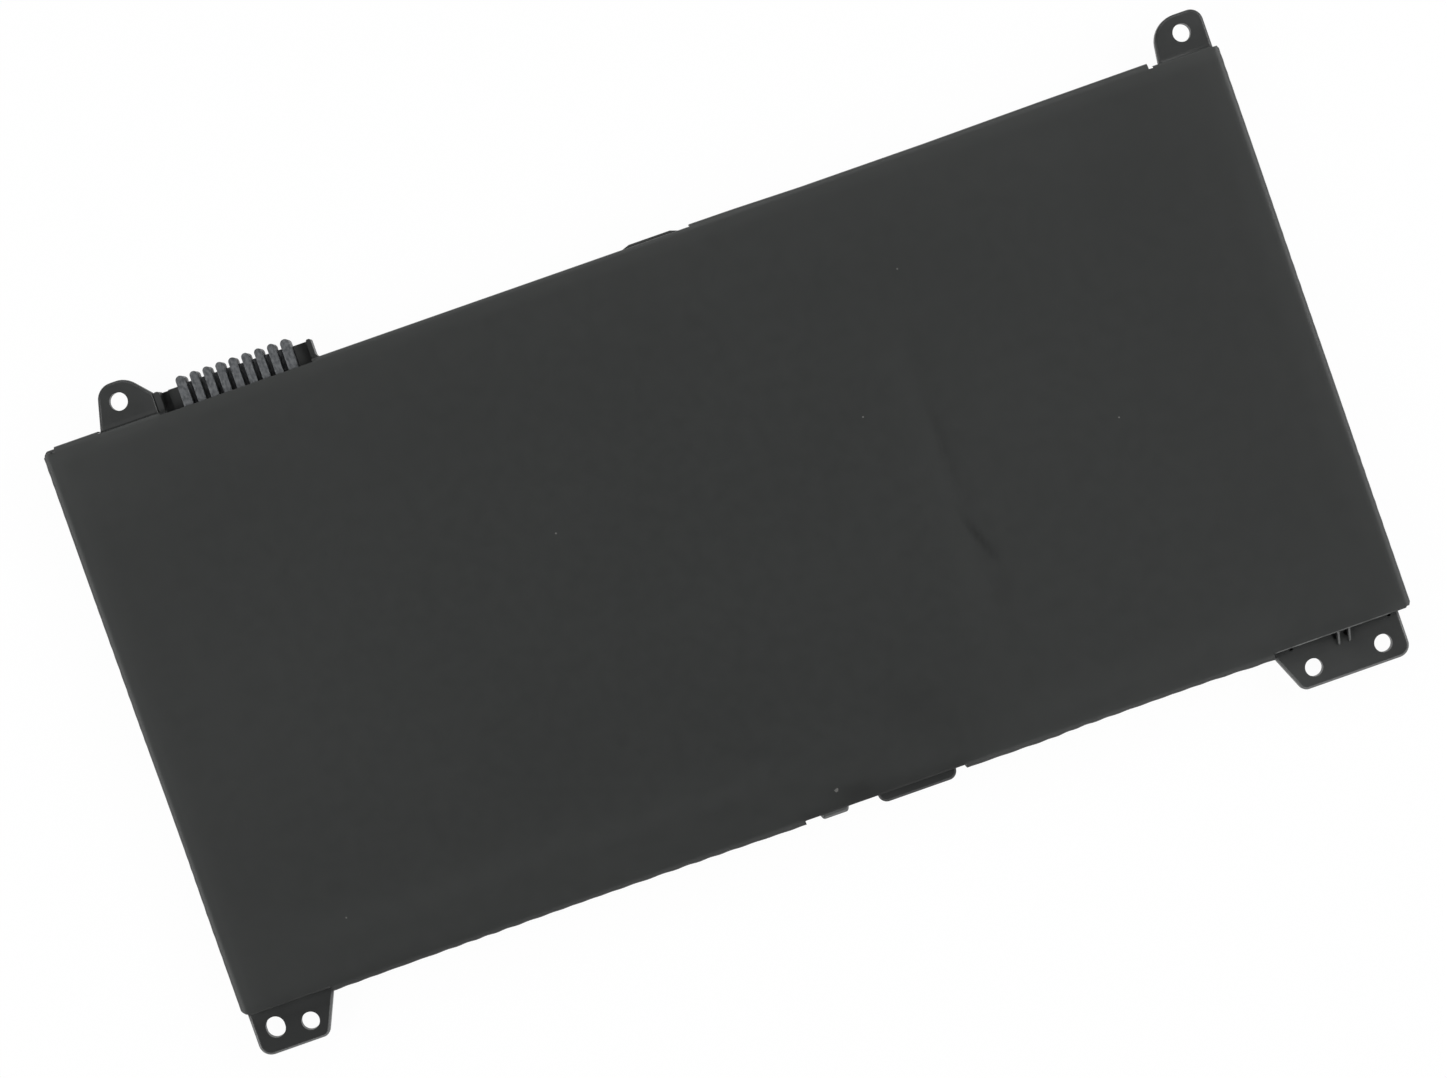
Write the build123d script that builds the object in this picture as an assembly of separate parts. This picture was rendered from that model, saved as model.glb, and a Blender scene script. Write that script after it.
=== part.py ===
from build123d import *
import os

# A three-cell lithium-polymer laptop battery. Pouch cells lie in a moulded frame, a film closes each face,
# and a protection board with a blade receptacle runs along one long edge.
# Millimetres. X runs along the long edge, Y points to the receptacle and Z up to the plain film face.
# The origin is at the middle of the underside.

# Pouch cells
CELL_NAMES = ("left", "middle", "right")
CELL_WIDTH = 60.0
CELL_LENGTH = 78.0
CELL_THICKNESS = 6.2
CELL_CORNER = 2.0
CELL_BEVEL = 0.8
SEAM_THICKNESS = 0.4
SEAM_RISE = 2.0
TERRACE_LENGTH = 4.0
TERRACE_THICKNESS = 0.5
TERRACE_INSET = 1.5

# Tabs that leave each cell, and the seals around them
TAB_OFFSET = 14.0
TAB_WIDTH = 8.0
TAB_THICKNESS = 0.2
SEAL_BORDER = 2.0
SEAL_LENGTH = 1.2
SEAL_THICKNESS = 0.5

# Sheets above and below the cells
BASE_FILM_THICKNESS = 0.2
BASE_FILM_INSET = 0.6
BASE_FILM_CORNER = 2.0
TAPE_THICKNESS = 0.15
FOAM_THICKNESS = 0.45
SHEET_MARGIN = 4.0

# Moulded frame
BAY_CLEARANCE = 0.4
LEFT_RAIL = 13.5
RIGHT_RAIL = 10.0
DIVIDER = 11.0
BOTTOM_RAIL = 10.0
BOARD_BAY = 17.8
WALL = 1.6
RIB = 0.8
WEB = 1.0
UPPER_CORNER = 0.8
LOWER_CORNER = 1.7
EDGE_ROUND = 1.0
RAIL_CELL_PITCH = 16.0
EAR_STEP_BACK = 0.7
TAB_NOTCH_CLEARANCE = 0.5

# Screw ears: reach is measured from the long edge, the rest from the nearer short edge
EAR_BASE = 2.4
TOP_EAR_BASE = 3.8
EAR_THICKNESS = 2.0
EAR_EDGE_ROUND = 0.6
EAR_HOLE = 3.4
TOP_LEFT_OVERHANG = 8.05
TOP_LEFT_FOOT = 10.75
TOP_LEFT_LEAN = 2.4
TOP_LEFT_CROWN = 18.6
TOP_LEFT_ROUNDS = (3.2, 4.1)
TOP_LEFT_HOLE = (16.1, 4.3)
TOP_RIGHT_OVERHANG = 7.35
TOP_RIGHT_WIDTH = 9.4
TOP_RIGHT_LEAN = 1.2
TOP_RIGHT_INSET = 0.7
TOP_RIGHT_ROUND = 5.0
TOP_RIGHT_HOLE = (5.3, 3.7)
LOW_LEFT_OVERHANG = 8.05
LOW_LEFT_INSET = 0.4
LOW_LEFT_WIDTH = 16.65
LOW_LEFT_SLANT = 3.65
LOW_LEFT_SLOT = (4.55, 3.3)
LOW_LEFT_SLOT_WIDTH = 3.6
LOW_LEFT_SLOT_LENGTH = 3.95
LOW_LEFT_HOLE = 11.0
LOW_RIGHT_OVERHANG = 7.9
LOW_RIGHT_INSET = 2.05
LOW_RIGHT_WIDTH = 24.75
LOW_RIGHT_SLANT = 3.4
LOW_RIGHT_HOLE = 6.65
LOW_RIGHT_HOLE_SPACING = 13.6
LOW_HOLE_ROW = 4.35
OUTER_CORNER_ROUND = 2.4
INNER_CORNER_ROUND = 1.6

# Gussets and slots beside the lower right ear
GUSSET_OFFSET = 14.35
GUSSET_PITCH = 2.1
GUSSET_COUNT = 2
GUSSET_THICKNESS = 0.5
GUSSET_OVERHANG = 2.0
GUSSET_SLOT = 0.7
GUSSET_SLOT_LENGTH = 1.4
RELIEF_PLACES = (4.0, 23.2)
RELIEF_WIDTH = 0.6
RELIEF_LENGTH = 0.7
SLOT_FLOOR = 1.0

# Lugs on the long edges, by their middle along X and their reach past the edge
TOP_LUG_MIDDLE = 3.85
TOP_LUG_LENGTH = 8.0
TOP_LUG_OVERHANG = 0.55
TOP_LUG_SLOPE = 1.6
SMALL_LUG_MIDDLE = 1.15
SMALL_LUG_LENGTH = 5.75
SMALL_LUG_OVERHANG = 0.65
SMALL_LUG_ROUND = 0.6
SMALL_LUG_TOP = 5.8
LONG_LUG_MIDDLE = 17.3
LONG_LUG_LENGTH = 15.5
LONG_LUG_OVERHANG = 1.6
LONG_LUG_ROUND = 1.7
LUG_BASE = 1.6
LUG_TOP = 4.6
LUG_BEVEL = 0.45
LUG_FOOT = 0.4
LUG_SLANT = 0.5
LUG_RECESS = 0.4
LUG_RECESS_MIDDLE = 11.15
LUG_RECESS_LENGTH = 31.4

# Back film, folded down over the frame
FILM_THICKNESS = 0.2
FILM_GAP = 0.05
FILM_FLANGE_BASE = 1.4
TOP_FOLD_START = 11.45
TOP_FOLD_INSET = 13.4
FILM_EDGE_MARGIN = 0.2
FILM_CONNECTOR_MARGIN = 0.65
FILM_EAR_MARGIN = 0.75
FILM_LOW_LEFT_MARGIN = 1.25
FILM_LEFT_END = 0.7
FILM_LEFT_END_WIDTH = 1.5
FILM_EAR_GAP = 0.1

# Protection board on its posts and rests
BOARD_THICKNESS = 0.8
BOARD_CLEARANCE = 0.3
BOARD_LEFT_OVERHANG = 4.0
BOARD_RIGHT_OVERHANG = 7.0
POST_WIDTH = 3.2
PIN_DIAMETER = 1.6
PIN_HEIGHT = 0.5
PIN_CLEARANCE = 0.2
POST_SETBACK = 7.6
POST_FROM_HOUSING = 6.7
PLATE_LENGTH = 4.0
PLATE_BORDER = 0.5
PLATE_THICKNESS = 0.15

# Receptacle in its pocket on the connector edge
CONTACT_COUNT = 8
CONTACT_PITCH = 2.5
CONNECTOR_FROM_LEFT = 38.25
SLOT_WIDTH = 1.0
END_RIB = 1.75
HOUSING_OVERHANG = 3.65
HOUSING_ON_BOARD = 6.4
HOUSING_BACK_WALL = 1.2
HOUSING_TOP_GAP = 0.3
RIB_NOSE = 1.4
FOOT_PASSAGE = 0.4
SEAT_CLEARANCE = 0.15
POCKET_OVERHANG = 3.4
POCKET_WALL = 1.1
POCKET_WALL_NOSE = 0.3
POCKET_TIP_SHARE = 0.4
POCKET_WALL_TOP = 5.8
NIB = 0.9
NIB_TOP = 4.8
NIB_ROOT = 0.9
POCKET_LEFT_GAP = 1.5
SHOULDER_LEFT = 2.0
SHOULDER_RIGHT = 2.6
SHOULDER_TOP = 3.9

# Fork contacts
FORK_WIDTH = 0.9
FORK_HEIGHT = 2.8
FORK_METAL = 0.2
FORK_NECK = 0.12
FORK_WAIST_SHARE = 0.7
FORK_LENGTH = 4.2
FORK_SETBACK = 0.3
FOOT_WIDTH = 0.6
FOOT_LENGTH = 1.6

# Board components: each place is an offset along X and a distance behind the board's connector edge.
# The power group is measured from the receptacle, the logic group from the middle cell.
CHIP_STANDOFF = 0.1
CHIP_BEVEL = 0.15
GAUGE_PLACE = (-8.0, 6.0)
GAUGE_BODY = (6.5, 4.4, 1.0)
GAUGE_LEAD_COUNT = 10
PROTECTOR_PLACE = (16.5, 6.0)
PROTECTOR_BODY = (3.0, 4.4, 0.9)
PROTECTOR_LEAD_COUNT = 4
LEAD_PITCH = 0.65
LEAD_WIDTH = 0.25
LEAD_OVERHANG = 1.0
LEAD_METAL = 0.15
DISCHARGE_PLACE = (12.0, 6.0)
CHARGE_PLACE = (19.5, 6.0)
TRANSISTOR_BODY = (5.0, 5.8, 1.0)
TRANSISTOR_LEAD_COUNT = 4
TRANSISTOR_PITCH = 1.27
TRANSISTOR_LEAD = (0.45, 0.4, 0.25)
FUSE_PLACE = (29.0, 6.0)
FUSE_BODY = (5.4, 3.2, 1.4)
SENSE_PLACE = (6.0, 6.0)
SENSE_BODY = (6.4, 3.2, 0.7)
THERMISTOR_PLACE = (0.0, 12.9)
THERMISTOR_BODY = (2.0, 1.25, 0.9)
TERMINAL_SHARE = 0.18
TERMINAL_PROUD = 0.03
CAPACITOR_BODY = (1.6, 0.8, 0.8)
CAPACITOR_PLACES = ((-15.0, 4.5), (-15.0, 7.5), (-1.5, 4.5), (-1.5, 7.5), (12.0, 6.0), (21.5, 6.0))
RESISTOR_BODY = (1.0, 0.5, 0.35)
RESISTOR_PLACES = ((-6.0, 11.0), (-4.0, 11.0), (-2.0, 11.0), (15.5, 2.0), (18.0, 2.0), (24.5, 6.0))

# Sizes that follow from the ones above
BAY_WIDTH = CELL_WIDTH + 2 * BAY_CLEARANCE
BAY_LENGTH = CELL_LENGTH + TERRACE_LENGTH + 2 * BAY_CLEARANCE
FRAME_LENGTH = LEFT_RAIL + len(CELL_NAMES) * BAY_WIDTH + (len(CELL_NAMES) - 1) * DIVIDER + RIGHT_RAIL
FRAME_WIDTH = BOTTOM_RAIL + BAY_LENGTH + BOARD_BAY
LEFT, RIGHT = -FRAME_LENGTH / 2, FRAME_LENGTH / 2
BOTTOM, TOP = -FRAME_WIDTH / 2, FRAME_WIDTH / 2
BAY_BOTTOM = BOTTOM + BOTTOM_RAIL
BAY_TOP = BAY_BOTTOM + BAY_LENGTH
FRAME_BASE = BASE_FILM_THICKNESS
WEB_TOP = FRAME_BASE + WEB
CELL_BASE = BASE_FILM_THICKNESS + TAPE_THICKNESS
CELL_MIDDLE = CELL_BASE + CELL_THICKNESS / 2
CELL_TOP = CELL_BASE + CELL_THICKNESS
FRAME_TOP = CELL_TOP + FOAM_THICKNESS
EAR_TOP = EAR_BASE + EAR_THICKNESS
LOW_LEFT_FOLD = LEFT + LOW_LEFT_INSET + LOW_LEFT_WIDTH
LOW_RIGHT_FOLD = RIGHT - LOW_RIGHT_INSET - LOW_RIGHT_WIDTH
TERRACE_END = BAY_TOP - BAY_CLEARANCE
TAB_BASE = CELL_MIDDLE - TAB_THICKNESS / 2
BOARD_TOP = TAB_BASE - PLATE_THICKNESS
BOARD_BASE = BOARD_TOP - BOARD_THICKNESS
BOARD_FRONT = TOP - WALL - BOARD_CLEARANCE
BOARD_BACK = BAY_TOP + RIB + BOARD_CLEARANCE
PLATE_BACK = BOARD_BACK + PLATE_BORDER
CONNECTOR_MIDDLE = LEFT + CONNECTOR_FROM_LEFT
HOUSING_WIDTH = (CONTACT_COUNT - 1) * CONTACT_PITCH + SLOT_WIDTH + 2 * END_RIB
HOUSING_LEFT = CONNECTOR_MIDDLE - HOUSING_WIDTH / 2
HOUSING_RIGHT = CONNECTOR_MIDDLE + HOUSING_WIDTH / 2
HOUSING_BACK = BOARD_FRONT - HOUSING_ON_BOARD
HOUSING_FRONT = TOP + HOUSING_OVERHANG
HOUSING_TOP = FRAME_TOP - HOUSING_TOP_GAP
POCKET_LEFT = HOUSING_LEFT - SEAT_CLEARANCE - SHOULDER_LEFT - POCKET_LEFT_GAP
POCKET_RIGHT = HOUSING_RIGHT + SEAT_CLEARANCE + SHOULDER_RIGHT
POCKET_FRONT = TOP + POCKET_OVERHANG
OVERLAP = 1.0


def bay_left(index):
    """X of the left wall of a cell's bay."""
    return LEFT + LEFT_RAIL + index * (BAY_WIDTH + DIVIDER)


def cell_middle(index):
    """X of a cell's middle."""
    return bay_left(index) + BAY_WIDTH / 2


def slab(x0, x1, y0, y1, z0, z1):
    """A rectangular solid between two corners."""
    return Pos((x0 + x1) / 2, (y0 + y1) / 2, (z0 + z1) / 2) * Box(x1 - x0, y1 - y0, z1 - z0)


def prism(sketch, z0, z1):
    """A flat sketch drawn up from one height to another."""
    return extrude(Pos(0, 0, z0) * sketch, z1 - z0)


def outline(points, rounds):
    """A closed outline whose corners are rounded by the radius given for each, 0 for a sharp one."""
    face = make_face(Polyline(*points, close=True))
    for point, radius in zip(points, rounds):
        if radius:
            corner = face.vertices().sort_by_distance((*point, 0))[0]
            face = fillet(corner, radius)
    return face


def body_outline():
    """The outline of the frame's body, with its corners cut off."""
    points = [
        (LEFT + LOWER_CORNER, BOTTOM),
        (RIGHT - LOWER_CORNER, BOTTOM),
        (RIGHT, BOTTOM + LOWER_CORNER),
        (RIGHT, TOP - UPPER_CORNER),
        (RIGHT - UPPER_CORNER, TOP),
        (LEFT + UPPER_CORNER, TOP),
        (LEFT, TOP - UPPER_CORNER),
        (LEFT, BOTTOM + LOWER_CORNER),
    ]
    return make_face(Polyline(*points, close=True))


def edge_cutter(edge, top, edge_round):
    """The section of a cutter that rounds over the upper edge at a distance from the middle."""
    square = Pos(edge, top) * Rectangle(2 * edge_round, 2 * edge_round)
    return square - Pos(edge - edge_round, top - edge_round) * Circle(edge_round)


def rolled_block(shape, z0, z1, edge_round):
    """A plate whose long and short upper edges are rounded over and meet in mitres."""
    size = shape.bounding_box().size
    short = extrude(Plane.XZ * edge_cutter(size.X / 2, z1, edge_round), size.Y, both=True)
    long = extrude(Plane.YZ * edge_cutter(size.Y / 2, z1, edge_round), size.X, both=True)
    half_turn = Rot(0, 0, 180)
    return prism(shape, z0, z1) - [short, long, half_turn * short, half_turn * long]


def top_left_ear():
    """Round-crowned ear that slopes down to the pocket of the receptacle."""
    foot = LEFT + TOP_LEFT_FOOT
    pocket = POCKET_LEFT - POCKET_WALL
    tip = TOP + TOP_LEFT_OVERHANG
    points = [
        (foot, TOP - OVERLAP),
        (foot + TOP_LEFT_LEAN, tip),
        (LEFT + TOP_LEFT_CROWN, tip),
        (pocket, POCKET_FRONT + POCKET_WALL_NOSE),
        (pocket, TOP - OVERLAP),
    ]
    hole = Pos(LEFT + TOP_LEFT_HOLE[0], TOP + TOP_LEFT_HOLE[1]) * Circle(EAR_HOLE / 2)
    return outline(points, (0, *TOP_LEFT_ROUNDS, 0, 0)), hole


def top_right_ear():
    """Leaning ear beside the right corner, with one large round and one small."""
    right = RIGHT - TOP_RIGHT_INSET
    left = right - TOP_RIGHT_WIDTH
    tip = TOP + TOP_RIGHT_OVERHANG
    root = TOP - EAR_STEP_BACK - OVERLAP
    points = [(left - TOP_RIGHT_LEAN, root), (left, tip), (right, tip), (right, root)]
    hole = Pos(RIGHT - TOP_RIGHT_HOLE[0], TOP + TOP_RIGHT_HOLE[1]) * Circle(EAR_HOLE / 2)
    return outline(points, (0, TOP_RIGHT_ROUND, OUTER_CORNER_ROUND, 0)), hole


def low_left_ear():
    """Ear with a round screw hole and a short slot that locates the pack."""
    left = LEFT + LOW_LEFT_INSET
    right = left + LOW_LEFT_WIDTH
    tip = BOTTOM - LOW_LEFT_OVERHANG
    root = BOTTOM + EAR_STEP_BACK + OVERLAP
    points = [(left, root), (left, tip), (right - LOW_LEFT_SLANT, tip), (right, BOTTOM), (right, root)]
    place = Pos(LEFT + LOW_LEFT_SLOT[0], BOTTOM - LOW_LEFT_SLOT[1])
    slot = place * SlotOverall(LOW_LEFT_SLOT_LENGTH, LOW_LEFT_SLOT_WIDTH, rotation=90)
    hole = Pos(LEFT + LOW_LEFT_HOLE, BOTTOM - LOW_HOLE_ROW) * Circle(EAR_HOLE / 2)
    return outline(points, (0, OUTER_CORNER_ROUND, INNER_CORNER_ROUND, 0, 0)), slot + hole


def low_right_ear():
    """Long ear with two screw holes in line."""
    right = RIGHT - LOW_RIGHT_INSET
    left = right - LOW_RIGHT_WIDTH
    tip = BOTTOM - LOW_RIGHT_OVERHANG
    root = BOTTOM + EAR_STEP_BACK + OVERLAP
    points = [(right, root), (right, tip), (left + LOW_RIGHT_SLANT, tip), (left, BOTTOM), (left, root)]
    first = RIGHT - LOW_RIGHT_HOLE
    row = BOTTOM - LOW_HOLE_ROW
    holes = Pos(first, row) * Circle(EAR_HOLE / 2)
    holes += Pos(first - LOW_RIGHT_HOLE_SPACING, row) * Circle(EAR_HOLE / 2)
    return outline(points, (0, OUTER_CORNER_ROUND, INNER_CORNER_ROUND, 0, 0)), holes


def ear(shape, holes, tip):
    """A flat ear with its outer rim rounded and its holes cut. Tip is +1 on the connector edge."""
    base, edge = (TOP_EAR_BASE, TOP) if tip > 0 else (EAR_BASE, BOTTOM)
    plate = prism(shape, base, base + EAR_THICKNESS)
    rim = plate.faces().sort_by(Axis.Z)[-1].edges()
    outer = [e for e in rim if tip * (e.center().Y - edge) > 0]
    plate = fillet(outer, EAR_EDGE_ROUND)
    return plate - prism(holes, base, base + EAR_THICKNESS)


def rail_pockets():
    """Openings between the walls and cross ribs of the rails, as one sketch."""
    inner_left, inner_right = LEFT + WALL, RIGHT - WALL
    pockets = Sketch()
    columns = [(inner_left, bay_left(0) - RIB)]
    for index in range(len(CELL_NAMES)):
        start = bay_left(index) + BAY_WIDTH + RIB
        end = bay_left(index + 1) - RIB if index + 1 < len(CELL_NAMES) else inner_right
        columns.append((start, end))
    rows = max(1, round(BAY_LENGTH / RAIL_CELL_PITCH))
    step = BAY_LENGTH / rows
    for start, end in columns:
        for row in range(rows):
            middle = BAY_BOTTOM + (row + 0.5) * step
            pockets += Pos((start + end) / 2, middle) * Rectangle(end - start, step - RIB)
    count = max(1, round((inner_right - inner_left) / RAIL_CELL_PITCH))
    step = (inner_right - inner_left + RIB) / count
    low, high = BOTTOM + WALL, BAY_BOTTOM - RIB
    for index in range(count):
        middle = inner_left + (index + 0.5) * step - RIB / 2
        pockets += Pos(middle, (low + high) / 2) * Rectangle(step - RIB, high - low)
    return pockets


def tab_places():
    """Middle of every tab along X, with the cell's name and the tab's sign."""
    places = []
    for index, name in enumerate(CELL_NAMES):
        places.append((cell_middle(index) - TAB_OFFSET, name, "positive"))
        places.append((cell_middle(index) + TAB_OFFSET, name, "negative"))
    return places


def post_places():
    """Middle of the two posts whose pins hold the board: beside the receptacle and behind the last cell."""
    row = BOARD_FRONT - POST_SETBACK
    return [(HOUSING_RIGHT + POST_FROM_HOUSING, row), (cell_middle(len(CELL_NAMES) - 1), row)]


def rest_places():
    """X of the ribs that the board rests on, one behind each divider between cells."""
    return [bay_left(index) - DIVIDER / 2 for index in range(1, len(CELL_NAMES))]


def receptacle_pocket():
    """Floor, left wall, right nib and shoulders that hold the receptacle outside the long wall."""
    left, right = POCKET_LEFT - POCKET_WALL, POCKET_RIGHT + NIB
    back = TOP - WALL
    pieces = [slab(left, right, back, POCKET_FRONT, FRAME_BASE, WEB_TOP)]
    front = POCKET_FRONT + POCKET_WALL_NOSE
    tip = POCKET_WALL * POCKET_TIP_SHARE
    points = [(left, back), (POCKET_LEFT, back), (POCKET_LEFT, front), (left, front)]
    pieces.append(prism(outline(points, (0, 0, tip, tip)), FRAME_BASE, POCKET_WALL_TOP))
    nib = POCKET_RIGHT + NIB
    root = nib + 2 * NIB_ROOT
    tip = NIB * POCKET_TIP_SHARE
    points = [(POCKET_RIGHT, back), (root, back), (root, TOP), (nib, TOP), (nib, front), (POCKET_RIGHT, front)]
    pieces.append(prism(outline(points, (0, 0, 0, NIB_ROOT, tip, tip)), FRAME_BASE, NIB_TOP))
    shoulder = HOUSING_LEFT - SEAT_CLEARANCE
    ends = (shoulder - SHOULDER_LEFT, shoulder, back, POCKET_FRONT)
    pieces.append(slab(*ends, FRAME_BASE, SHOULDER_TOP))
    shoulder = HOUSING_RIGHT + SEAT_CLEARANCE
    ends = (shoulder, POCKET_RIGHT, back, POCKET_FRONT)
    pieces.append(slab(*ends, FRAME_BASE, SHOULDER_TOP))
    return pieces


def lugs():
    """Small lugs that key the pack between the walls of the laptop."""
    half = TOP_LUG_LENGTH / 2
    tip = TOP + TOP_LUG_OVERHANG
    points = [
        (TOP_LUG_MIDDLE - half - TOP_LUG_SLOPE, TOP - OVERLAP),
        (TOP_LUG_MIDDLE - half - TOP_LUG_SLOPE, TOP),
        (TOP_LUG_MIDDLE - half, tip),
        (TOP_LUG_MIDDLE + half, tip),
        (TOP_LUG_MIDDLE + half + TOP_LUG_SLOPE, TOP),
        (TOP_LUG_MIDDLE + half + TOP_LUG_SLOPE, TOP - OVERLAP),
    ]
    group = [prism(make_face(Polyline(*points, close=True)), LUG_BASE, LUG_TOP)]
    wall = BOTTOM + LUG_RECESS
    for middle, length, overhang, end_round, top in (
        (SMALL_LUG_MIDDLE, SMALL_LUG_LENGTH, SMALL_LUG_OVERHANG, SMALL_LUG_ROUND, SMALL_LUG_TOP),
        (LONG_LUG_MIDDLE, LONG_LUG_LENGTH, LONG_LUG_OVERHANG, LONG_LUG_ROUND, LUG_TOP),
    ):
        left, right = middle - length / 2, middle + length / 2
        tip = BOTTOM - overhang
        points = [
            (left - 2 * LUG_FOOT, wall + OVERLAP),
            (left - 2 * LUG_FOOT, wall),
            (left, wall),
            (left + LUG_SLANT, tip),
            (right - LUG_SLANT, tip),
            (right, wall),
            (right + 2 * LUG_FOOT, wall),
            (right + 2 * LUG_FOOT, wall + OVERLAP),
        ]
        shape = outline(points, (0, 0, LUG_FOOT, end_round, end_round, LUG_FOOT, 0, 0))
        lug = prism(shape, LUG_BASE, top)
        rim = lug.faces().sort_by(Axis.Z)[-1].edges().sort_by(Axis.Y)[0]
        group.append(chamfer(rim, LUG_BEVEL))
    return group


def gussets():
    """Small ribs that brace the lower right ear against the long wall."""
    group = []
    wall = BOTTOM + EAR_STEP_BACK
    profile = [(wall, FRAME_TOP - EDGE_ROUND), (wall, EAR_BASE), (wall - GUSSET_OVERHANG, EAR_BASE)]
    profile.append((wall - GUSSET_OVERHANG, EAR_TOP))
    face = Plane.YZ * make_face(Polyline(*profile, close=True))
    for index in range(GUSSET_COUNT):
        x = RIGHT - GUSSET_OFFSET + index * GUSSET_PITCH
        group.append(Pos(x, 0, 0) * extrude(face, GUSSET_THICKNESS))
    return group


def ear_slots():
    """Blind slots in the lower right ear: one beside each gusset, and a small relief near each end."""
    wall = BOTTOM + EAR_STEP_BACK
    floor = EAR_BASE + SLOT_FLOOR
    slots = []
    for index in range(GUSSET_COUNT):
        x = RIGHT - GUSSET_OFFSET + index * GUSSET_PITCH
        slots.append(slab(x - GUSSET_SLOT, x, wall - GUSSET_SLOT_LENGTH, wall, floor, EAR_TOP))
    for place in RELIEF_PLACES:
        x = RIGHT - place
        ends = (x - RELIEF_WIDTH / 2, x + RELIEF_WIDTH / 2)
        slots.append(slab(*ends, wall - RELIEF_LENGTH, wall, floor, EAR_TOP))
    return slots


def make_frame():
    """The moulded frame: ribbed rails around the bays, board tray, ears, lugs and receptacle pocket."""
    frame = rolled_block(body_outline(), FRAME_BASE, FRAME_TOP, EDGE_ROUND)
    below, above = FRAME_BASE - OVERLAP, FRAME_TOP + OVERLAP
    out = OVERLAP + max(TOP_LEFT_OVERHANG, LOW_LEFT_OVERHANG)
    half = LUG_RECESS_LENGTH / 2
    recess = (LUG_RECESS_MIDDLE - half, LUG_RECESS_MIDDLE + half)
    lower = (BOTTOM - out, BOTTOM + EAR_STEP_BACK)
    frame -= [
        slab(RIGHT - TOP_FOLD_INSET, RIGHT + out, TOP - EAR_STEP_BACK, TOP + out, below, above),
        slab(LOW_RIGHT_FOLD, RIGHT + out, *lower, below, above),
        slab(LEFT - out, LOW_LEFT_FOLD, *lower, below, above),
        slab(*recess, BOTTOM - out, BOTTOM + LUG_RECESS, below, above),
        slab(POCKET_LEFT, POCKET_RIGHT, TOP - WALL, TOP + out, WEB_TOP, above),
    ]
    ears = [ear(*top_left_ear(), 1), ear(*top_right_ear(), 1)]
    ears += [ear(*low_left_ear(), -1), ear(*low_right_ear(), -1)]
    frame += ears + lugs() + receptacle_pocket() + gussets()

    cuts = ear_slots()
    for index in range(len(CELL_NAMES)):
        left = bay_left(index)
        cuts.append(slab(left, left + BAY_WIDTH, BAY_BOTTOM, BAY_TOP, below, above))
    cuts.append(prism(rail_pockets(), WEB_TOP, above))
    tray = (BAY_TOP + RIB, TOP - WALL)
    cuts.append(slab(LEFT + WALL, RIGHT - WALL, *tray, WEB_TOP, above))
    notch = TAB_WIDTH / 2 + SEAL_BORDER + TAB_NOTCH_CLEARANCE
    sill = CELL_MIDDLE - SEAL_THICKNESS / 2 - TAB_NOTCH_CLEARANCE
    for x, _, _ in tab_places():
        cuts.append(slab(x - notch, x + notch, BAY_TOP - OVERLAP, BAY_TOP + RIB + OVERLAP, sill, above))
    frame -= cuts
    supports = []
    for x, y in post_places():
        supports.append(prism(Pos(x, y) * Rectangle(POST_WIDTH, POST_WIDTH), WEB_TOP, BOARD_BASE))
        supports.append(prism(Pos(x, y) * Circle(PIN_DIAMETER / 2), BOARD_BASE, BOARD_TOP + PIN_HEIGHT))
    for x in rest_places():
        supports.append(slab(x - RIB / 2, x + RIB / 2, *tray, WEB_TOP, BOARD_BASE))
    return frame + supports


def make_back_film():
    """The film over the upper face, folded down over the frame except at ears, lugs and receptacle."""
    skin = FILM_GAP + FILM_THICKNESS
    outer = offset(body_outline(), skin, kind=Kind.INTERSECTION)
    inner = offset(body_outline(), FILM_GAP, kind=Kind.INTERSECTION)
    film = rolled_block(outer, FILM_FLANGE_BASE, FRAME_TOP + FILM_THICKNESS, EDGE_ROUND + skin)
    film -= rolled_block(inner, FILM_FLANGE_BASE - OVERLAP, FRAME_TOP, EDGE_ROUND + FILM_GAP)
    far = OVERLAP + skin
    lug_half = LUG_RECESS_LENGTH / 2
    lower = BOTTOM - far
    cuts = [
        (LEFT - far, LEFT + FILM_LEFT_END_WIDTH, TOP - FILM_LEFT_END, TOP + far),
        (LEFT + TOP_LEFT_FOOT - FILM_EAR_GAP, TOP_FOLD_START, TOP - FILM_EDGE_MARGIN, TOP + far),
        (POCKET_LEFT - POCKET_WALL, POCKET_RIGHT + POCKET_WALL, TOP - FILM_CONNECTOR_MARGIN, TOP + far),
        (RIGHT - TOP_FOLD_INSET, RIGHT + far, TOP - FILM_EAR_MARGIN, TOP + far),
        (LOW_RIGHT_FOLD, RIGHT + far, lower, BOTTOM + FILM_EAR_MARGIN),
        (LUG_RECESS_MIDDLE - lug_half, LUG_RECESS_MIDDLE + lug_half, lower, BOTTOM + LUG_RECESS),
        (LEFT - far, LOW_LEFT_FOLD, lower, BOTTOM + FILM_LOW_LEFT_MARGIN),
    ]
    heights = (FILM_FLANGE_BASE - OVERLAP, FRAME_TOP + OVERLAP)
    return film - [slab(*cut, *heights) for cut in cuts]


def make_base_film():
    """The plain film over the underside."""
    length = FRAME_LENGTH - 2 * BASE_FILM_INSET
    width = FRAME_WIDTH - 2 * EAR_STEP_BACK - 2 * BASE_FILM_INSET
    return prism(RectangleRounded(length, width, BASE_FILM_CORNER), 0, BASE_FILM_THICKNESS)


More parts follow.
